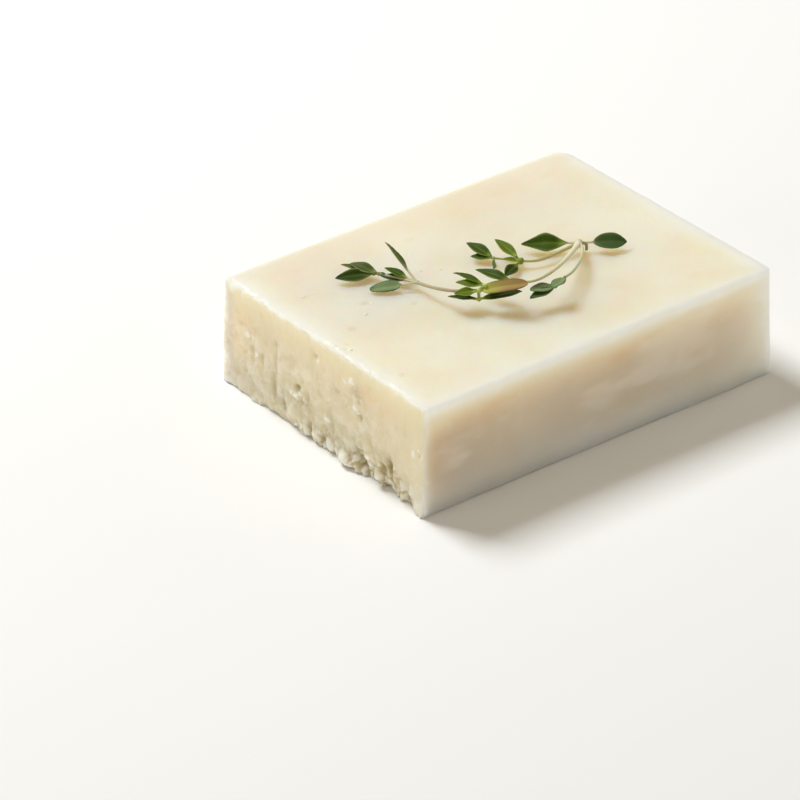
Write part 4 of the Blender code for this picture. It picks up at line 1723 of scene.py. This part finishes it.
@dataclass(frozen=True)
class LeafForm:
    """Shape that all leaves share: sizes in metres, and shares of the leaf's own width.

    A leaf is a closed flattened tube: rings along a thin stalk and then along the blade,
    where the last ring is almost a point.
    """

    stalk_rows: int = 7
    blade_rows: int = 30
    sides: int = 24
    stalk_radius: float = 0.26 * MM
    half_thickness: float = 0.15 * MM
    least_thickness: float = 0.02 * MM
    fold: float = 0.18
    fold_softness: float = 0.15 * MM
    curl: float = 0.10
    ripple: float = 0.08
    ripples: float = 1.5
    sway: float = 0.10 * MM
    sway_size: float = 2.4 * MM
    midrib_width: float = 0.10
    midrib_depth: float = 0.07 * MM
    side_veins: float = 6.0
    side_vein_slant: float = 1.3
    side_vein_height: float = 0.02 * MM
    side_vein_depth: float = 0.01 * MM

    def _stations(self) -> tuple[Array, Array]:
        """Place the rings: even along the stalk, and as a sine that crowds at the tip.

        Returns:
            Shares of 0 to 1 along the blade and along the stalk, one of each for a ring.
        """
        blade = np.sin(np.linspace(0.0, np.pi / 2.0, self.blade_rows + 1))[:-1]
        stalk = np.linspace(0.0, 1.0, self.stalk_rows)
        return (
            np.concatenate([np.zeros(self.stalk_rows), blade])[:, None],
            np.concatenate([stalk, np.ones(self.blade_rows)])[:, None],
        )

    def _half_width(self, leaf: Leaf, t: Array) -> Array:
        """Work out half the leaf's width, which the stalk's radius rounds at its start.

        The outline is sin(pi * t ** 0.9) ** taper, or so much of a diamond as the leaf has,
        whose corner is softened by a hypotenuse. The stalk's radius fades along the blade.

        Args:
            leaf: The leaf's own sizes.
            t: Shares of 0 to 1 along the blade.

        Returns:
            Half the width at each share, in metres.
        """
        oval = np.clip(np.sin(np.pi * t**0.9), 0.0, 1.0) ** leaf.taper
        corner = np.clip(1.08 - np.hypot(2.0 * t**0.9 - 1.0, 0.15), 0.0, 1.0)
        blade = oval + leaf.diamond * (corner - oval)
        return np.hypot(leaf.width * MM / 2.0 * blade, self.stalk_radius * (1.0 - t))

    def surface(self, leaf: Leaf, seed: int) -> tuple[Array, Array, Array, Array]:
        """Work out one leaf that points along +X with its stalk's foot at the origin.

        The blade arches as t * (1 - t) and folds up on both sides of its midrib, which is a
        groove above and a rib below. Its edges ripple as a sine and curl under.

        Args:
            leaf: The leaf's own sizes.
            seed: Chooses how it sways.

        Returns:
            Its points; then, for its colours, the shares along the blade, the places across
            it of -1 to 1, and whether they are on the upper face.
        """
        t, stalk = self._stations()
        turn = np.linspace(0.0, 2.0 * np.pi, self.sides, endpoint=False)[None, :]
        side = np.cos(turn)
        upper = np.sin(turn) > 0.0
        spread = smoothstep(0.0, 0.16, t)
        half_width = self._half_width(leaf, t)
        y = half_width * side
        along = (leaf.stalk * stalk + leaf.length * t) * MM
        thick = self.stalk_radius * (1.0 - spread) + self.half_thickness * spread
        thick = thick * np.sqrt(np.clip(1.0 - t**6, 0.0, 1.0)) + self.least_thickness
        arch = 4.0 * leaf.arch * leaf.length * MM * t * (1.0 - t)
        fold = 2.0 * self.fold * (np.hypot(y, self.fold_softness) - self.fold_softness)
        ripple = self.ripple * np.sin(2.0 * np.pi * self.ripples * along / along[-1])
        midrib = np.exp(-((y / (self.midrib_width * leaf.width * MM)) ** 2)) * spread
        veins = np.sin(2.0 * np.pi * (self.side_veins * t - self.side_vein_slant * np.abs(side)))
        veins = veins * spread * (1.0 - midrib)
        z = arch + fold + ripple * y + thick * np.sin(turn) - self.midrib_depth * midrib
        z = z + np.where(upper, self.side_vein_height, -self.side_vein_depth) * veins
        z = z - self.curl * half_width * np.abs(side) ** 6 * spread
        local = np.stack([np.broadcast_to(along, y.shape), y, z], axis=-1)
        local[..., 2] += self.sway * noise(local, self.sway_size, Seed.LEAVES + seed) * spread
        ends = np.stack([local[0].mean(axis=0), local[-1].mean(axis=0)])
        ends[1, 0] = (leaf.stalk + leaf.length) * MM
        return np.concatenate([ends[:1], local.reshape(-1, 3), ends[1:]]), t, side, upper


@dataclass
class ThymeSprig:
    """The sprig: leaves in one piece and stems with their knobs in another.

    Ridges, swell and unevenness are shares of a radius, and a knob's bumps are so many of
    its radii wide.
    """

    leaf_material: bpy.types.Material
    stem_material: bpy.types.Material
    form: LeafForm = LeafForm()
    tufts: dict[str, tuple[Leaf, ...]] = field(default_factory=lambda: TUFTS)
    stems: tuple[Stem, ...] = STEMS
    stem_steps: int = 10
    stem_sides: int = 16
    ridges: int = 4
    ridge_height: float = 0.07
    ridge_twist: float = 3.0
    stem_swell: float = 0.10
    stem_swell_size: float = 1.8 * MM
    knob_rings: int = 10
    knob_unevenness: float = 0.14
    knob_bump: float = 0.7

    def _leaf(self, joint: str, leaf: Leaf, seed: int) -> tuple[Array, Array]:
        """Make one leaf and roll, raise and turn it at its joint.

        Args:
            joint: Name of the joint that it grows from.
            leaf: The leaf's own sizes.
            seed: Chooses how it sways.

        Returns:
            Its points, and one colour for each of them.
        """
        points, t, side, upper = self.form.surface(leaf, seed)
        rotation = (
            Matrix.Rotation(math.radians(leaf.heading), 3, "Z")
            @ Matrix.Rotation(math.radians(-leaf.rise), 3, "Y")
            @ Matrix.Rotation(math.radians(leaf.roll), 3, "X")
        )
        colors = self._leaf_colors(leaf.tint.value, KNOB_COLORS[joint], t, side, upper)
        colors = np.concatenate([colors[0, :1], colors.reshape(-1, 4), colors[-1, :1]])
        return points @ np.array(rotation).T + sprig_point(joint), colors

    @staticmethod
    def _leaf_colors(
        shades: LeafColors, stalk: Color, t: Array, side: Array, upper: Array
    ) -> Array:
        """Lay a leaf's colours over its grid: face or underside, tip, midrib, margin, base.

        Each layer covers a share of what is under it, and the last one fades into the stalk.

        Args:
            shades: The leaf's colours.
            stalk: Colour of the joint's knob.
            t: Shares of 0 to 1 along the blade.
            side: Places across it, -1 to 1.
            upper: Whether they are on the upper face.

        Returns:
            One colour for each place of the grid.
        """
        shape = np.broadcast_shapes(t.shape, side.shape)
        out = np.abs(side)
        tip_from, margin_from = shades.tip_from, shades.margin_from
        layers = (
            (np.where(upper, 0.0, 0.7), shades.under),
            (0.9 * smoothstep(tip_from, tip_from + 0.35, t), shades.tip),
            (0.4 * smoothstep(0.16, 0.0, out) * (1.0 - 0.7 * t), shades.base),
            (0.75 * smoothstep(margin_from, 0.97, out), shades.margin),
            (0.8 * smoothstep(0.26, 0.03, t), shades.base),
            (smoothstep(0.03, 0.0, t), stalk),
        )
        color = np.broadcast_to(linear(shades.face), (*shape, 4))
        for share, other in layers:
            share = np.broadcast_to(share, shape)[..., None]
            color = color * (1.0 - share) + np.array(linear(other)) * share
        return color

    def _leaves(self) -> tuple[Array, Array]:
        """Make all leaves.

        Returns:
            Their points and their colours, each leaf one row of both.
        """
        made = [
            self._leaf(joint, leaf, number)
            for number, (joint, leaf) in enumerate(
                (joint, leaf) for joint, leaves in self.tufts.items() for leaf in leaves
            )
        ]
        return np.stack([m[0] for m in made]), np.stack([m[1] for m in made])

    def _through(self, route: tuple[Place, ...]) -> Array:
        """Sample a smooth curve through the points of a stem's route.

        Between points b and c, with a before and d after them, it is the cubic in t that
        leaves b along c - a and reaches c along d - b.

        Args:
            route: The places that it goes through.

        Returns:
            Points along the curve, in metres.
        """
        knots = np.array([sprig_point(place) for place in route])
        knots = np.concatenate(
            [[2.0 * knots[0] - knots[1]], knots, [2.0 * knots[-1] - knots[-2]]]
        )
        a, b, c, d = (knots[n : len(knots) - 3 + n, None] for n in range(4))
        t = np.linspace(0.0, 1.0, self.stem_steps, endpoint=False)[None, :, None]
        samples = 0.5 * (
            2.0 * b + (c - a) * t + (2.0 * a - 5.0 * b + 4.0 * c - d) * t**2
            + (3.0 * b - a - 3.0 * c + d) * t**3
        )
        return np.concatenate([samples.reshape(-1, 3), knots[-2:-1]])

    def _stem(self, stem: Stem) -> tuple[Array, Array, int]:
        """Make one stem: a tube whose radius goes from start to end as share ** bend.

        Soft ridges twist along it as cos(ridges * turn + twist * share), and noise swells it.

        Args:
            stem: The stem's sizes, colours and route.

        Returns:
            Its points, one colour for each of them, and the number of its rings.
        """
        centre = self._through(stem.route)
        ahead = np.gradient(centre, axis=0)
        ahead /= np.linalg.norm(ahead, axis=1, keepdims=True)
        reference = np.eye(3)[np.argmin(np.abs(ahead).max(axis=0))]
        across = np.cross(ahead, reference)
        across /= np.linalg.norm(across, axis=1, keepdims=True)
        upward = np.cross(across, ahead)
        share = np.linspace(0.0, 1.0, len(centre))[:, None]
        turn = np.linspace(0.0, 2.0 * np.pi, self.stem_sides, endpoint=False)[None, :]
        grown = share**stem.bend
        radius = (stem.start_radius + (stem.end_radius - stem.start_radius) * grown) * MM
        swell = self.stem_swell * rough(centre, self.stem_swell_size, Seed.STEMS, 2)[:, None]
        ridge = self.ridge_height * np.cos(self.ridges * turn + self.ridge_twist * share)
        radius = radius * (1.0 + swell + ridge)
        ring = (
            centre[:, None]
            + radius[..., None] * np.cos(turn)[..., None] * across[:, None]
            + radius[..., None] * np.sin(turn)[..., None] * upward[:, None]
        )
        points = np.concatenate([centre[:1], ring.reshape(-1, 3), centre[-1:]])
        start, end = np.array(linear(stem.start_color)), np.array(linear(stem.end_color))
        color = np.repeat(start + (end - start) * share, self.stem_sides, axis=0)
        return points, np.concatenate([[start], color, [end]]), len(centre)

    def _knob(self, name: str) -> tuple[Array, Array, int]:
        """Make the knob at a joint: a ball that noise makes uneven.

        Args:
            name: Name of the joint.

        Returns:
            Its points, one colour for each of them, and the number of its rings.
        """
        ball = ball_points(self.knob_rings, self.stem_sides)
        place, radius = sprig_point(name), JOINTS[name][3] * MM
        bumps = rough(ball + place / MM, self.knob_bump, Seed.KNOBS, 2)
        uneven = 1.0 + self.knob_unevenness * bumps
        color = np.tile(linear(KNOB_COLORS[name]), (len(ball), 1))
        return ball * uneven[:, None] * radius + place, color, self.knob_rings

    def build(self) -> list[bpy.types.Object]:
        """Build the leaves and the stems.

        Returns:
            The two pieces, which stand for the sprig's solid.
        """
        points, colors = self._leaves()
        faces = tube_faces(self.form.stalk_rows + self.form.blade_rows, self.form.sides)
        steps = np.arange(len(points))[:, None, None] * points.shape[1]
        leaves = make_piece(
            "thyme_leaves",
            points.reshape(-1, 3),
            (faces + steps).reshape(-1, 3),
            self.leaf_material,
            "thyme_sprig",
        )
        add_color(leaves, "tint", colors.reshape(-1, 4))
        parts = [self._stem(stem) for stem in self.stems] + [self._knob(n) for n in JOINTS]
        starts = np.cumsum([0] + [len(part[0]) for part in parts[:-1]])
        stems = make_piece(
            "thyme_stems",
            np.concatenate([part[0] for part in parts]),
            np.concatenate(
                [
                    tube_faces(part[2], self.stem_sides) + start
                    for part, start in zip(parts, starts)
                ]
            ),
            self.stem_material,
            "thyme_sprig",
        )
        add_color(stems, "tint", np.concatenate([part[1] for part in parts]))
        return [leaves, stems]


# ---------------------------------------------------------------- studio


@dataclass(frozen=True)
class Softbox:
    """A square area light: its direction from the object, its distance and side in metres
    and its power in watts.
    """

    name: str
    direction: tuple[float, float, float]
    distance: float
    side: float
    power: float
    color: Color = (255, 255, 255)


@dataclass
class Studio:
    """Pale floor, soft lights, even surroundings and the camera."""

    lights: tuple[Softbox, ...] = (
        Softbox("key", (-0.17, 0.71, 1.0), 1.3, 0.46, 14.9, (247, 251, 255)),
        Softbox("left_fill", (-1.0, 0.10, 0.22), 0.9, 0.6, 1.4, (244, 249, 255)),
        Softbox("front_fill", (0.35, -1.0, 0.30), 0.9, 0.6, 1.25, (246, 250, 255)),
        Softbox("right_fill", (1.0, -0.12, 0.2), 0.9, 0.6, 1.3, (246, 250, 255)),
    )
    surroundings: float = 0.28
    surroundings_color: Color = (255, 238, 204)
    floor_reach: float = 2.5
    floor_drop: float = 0.05 * MM
    floor_color: Color = (250, 250, 250)
    floor_patch: Color = (248, 248, 247)
    sensor_width: float = 36.0
    focal_length: float = 202.5
    clip_start: float = 0.05
    clip_end: float = 20.0
    camera_place: tuple[float, float, float] = (-0.56436, -0.68986, 0.53794)
    camera_right: tuple[float, float, float] = (0.78929, -0.61402, -0.00072)
    camera_up: tuple[float, float, float] = (0.32061, 0.41113, 0.85333)
    camera_back: tuple[float, float, float] = (-0.52367, -0.67376, 0.52136)

    def _floor(self) -> None:
        """Lay a large pale floor just under the object."""
        corners = np.array([(-1, -1), (1, -1), (1, 1), (-1, 1)]) * self.floor_reach
        mesh = bpy.data.meshes.new("floor")
        mesh.from_pydata([(x, y, -self.floor_drop) for x, y in corners], [], [(0, 1, 2, 3)])
        graph = Graph("pale_floor")
        tone = graph.ease(graph.noise(0.4, 2.0), 0.3, 0.7, 0.5)
        color = graph.mix(tone, linear(self.floor_color), linear(self.floor_patch))
        graph.set(Base_Color=color, Roughness=0.85, Specular_IOR_Level=0.1)
        mesh.materials.append(graph.material)
        floor = bpy.data.objects.new("floor", mesh)
        bpy.context.scene.collection.objects.link(floor)

    def _light(self, box: Softbox) -> None:
        """Hang one softbox, turned to the middle of the object.

        Args:
            box: The softbox.
        """
        lamp = bpy.data.lights.new(box.name, "AREA")
        lamp.shape = "SQUARE"
        lamp.size = box.side
        lamp.energy = box.power
        lamp.color = linear(box.color)[:3]
        target = Vector((0.0, 0.0, 0.5 * BLOCK_HEIGHT))
        way = Vector(box.direction).normalized()
        light = bpy.data.objects.new(box.name, lamp)
        light.location = target + way * box.distance
        light.rotation_euler = way.to_track_quat("Z", "Y").to_euler()
        bpy.context.scene.collection.objects.link(light)

    def _camera(self) -> None:
        """Place the camera by its position and its three axes."""
        data = bpy.data.cameras.new("camera")
        data.sensor_width = self.sensor_width
        data.lens = self.focal_length
        data.clip_start, data.clip_end = self.clip_start, self.clip_end
        camera = bpy.data.objects.new("camera", data)
        axes = Matrix((self.camera_right, self.camera_up, self.camera_back)).transposed()
        camera.matrix_world = Matrix.Translation(self.camera_place) @ axes.to_4x4()
        bpy.context.scene.collection.objects.link(camera)
        bpy.context.scene.camera = camera

    def build(self) -> None:
        """Set up the floor, the lights, the surroundings and the camera."""
        self._floor()
        for box in self.lights:
            self._light(box)
        world = bpy.data.worlds.new("studio")
        world.use_nodes = True
        background = world.node_tree.nodes["Background"]
        background.inputs["Color"].default_value = linear(self.surroundings_color)
        background.inputs["Strength"].default_value = self.surroundings
        scene = bpy.context.scene
        scene.world = world
        scene.view_settings.view_transform = "Standard"
        self._camera()
        log.info("studio: %d lights", len(self.lights))


def main() -> None:
    """Build the studio, the cheese, its crumbs and the sprig."""
    Studio().build()
    CheeseBlock(CheeseFinish()).build()
    LooseCrumbs(CrumbFinish().build()).build()
    ThymeSprig(LeafFinish().build(), StemFinish().build()).build()


if __name__ == "__main__":
    main()
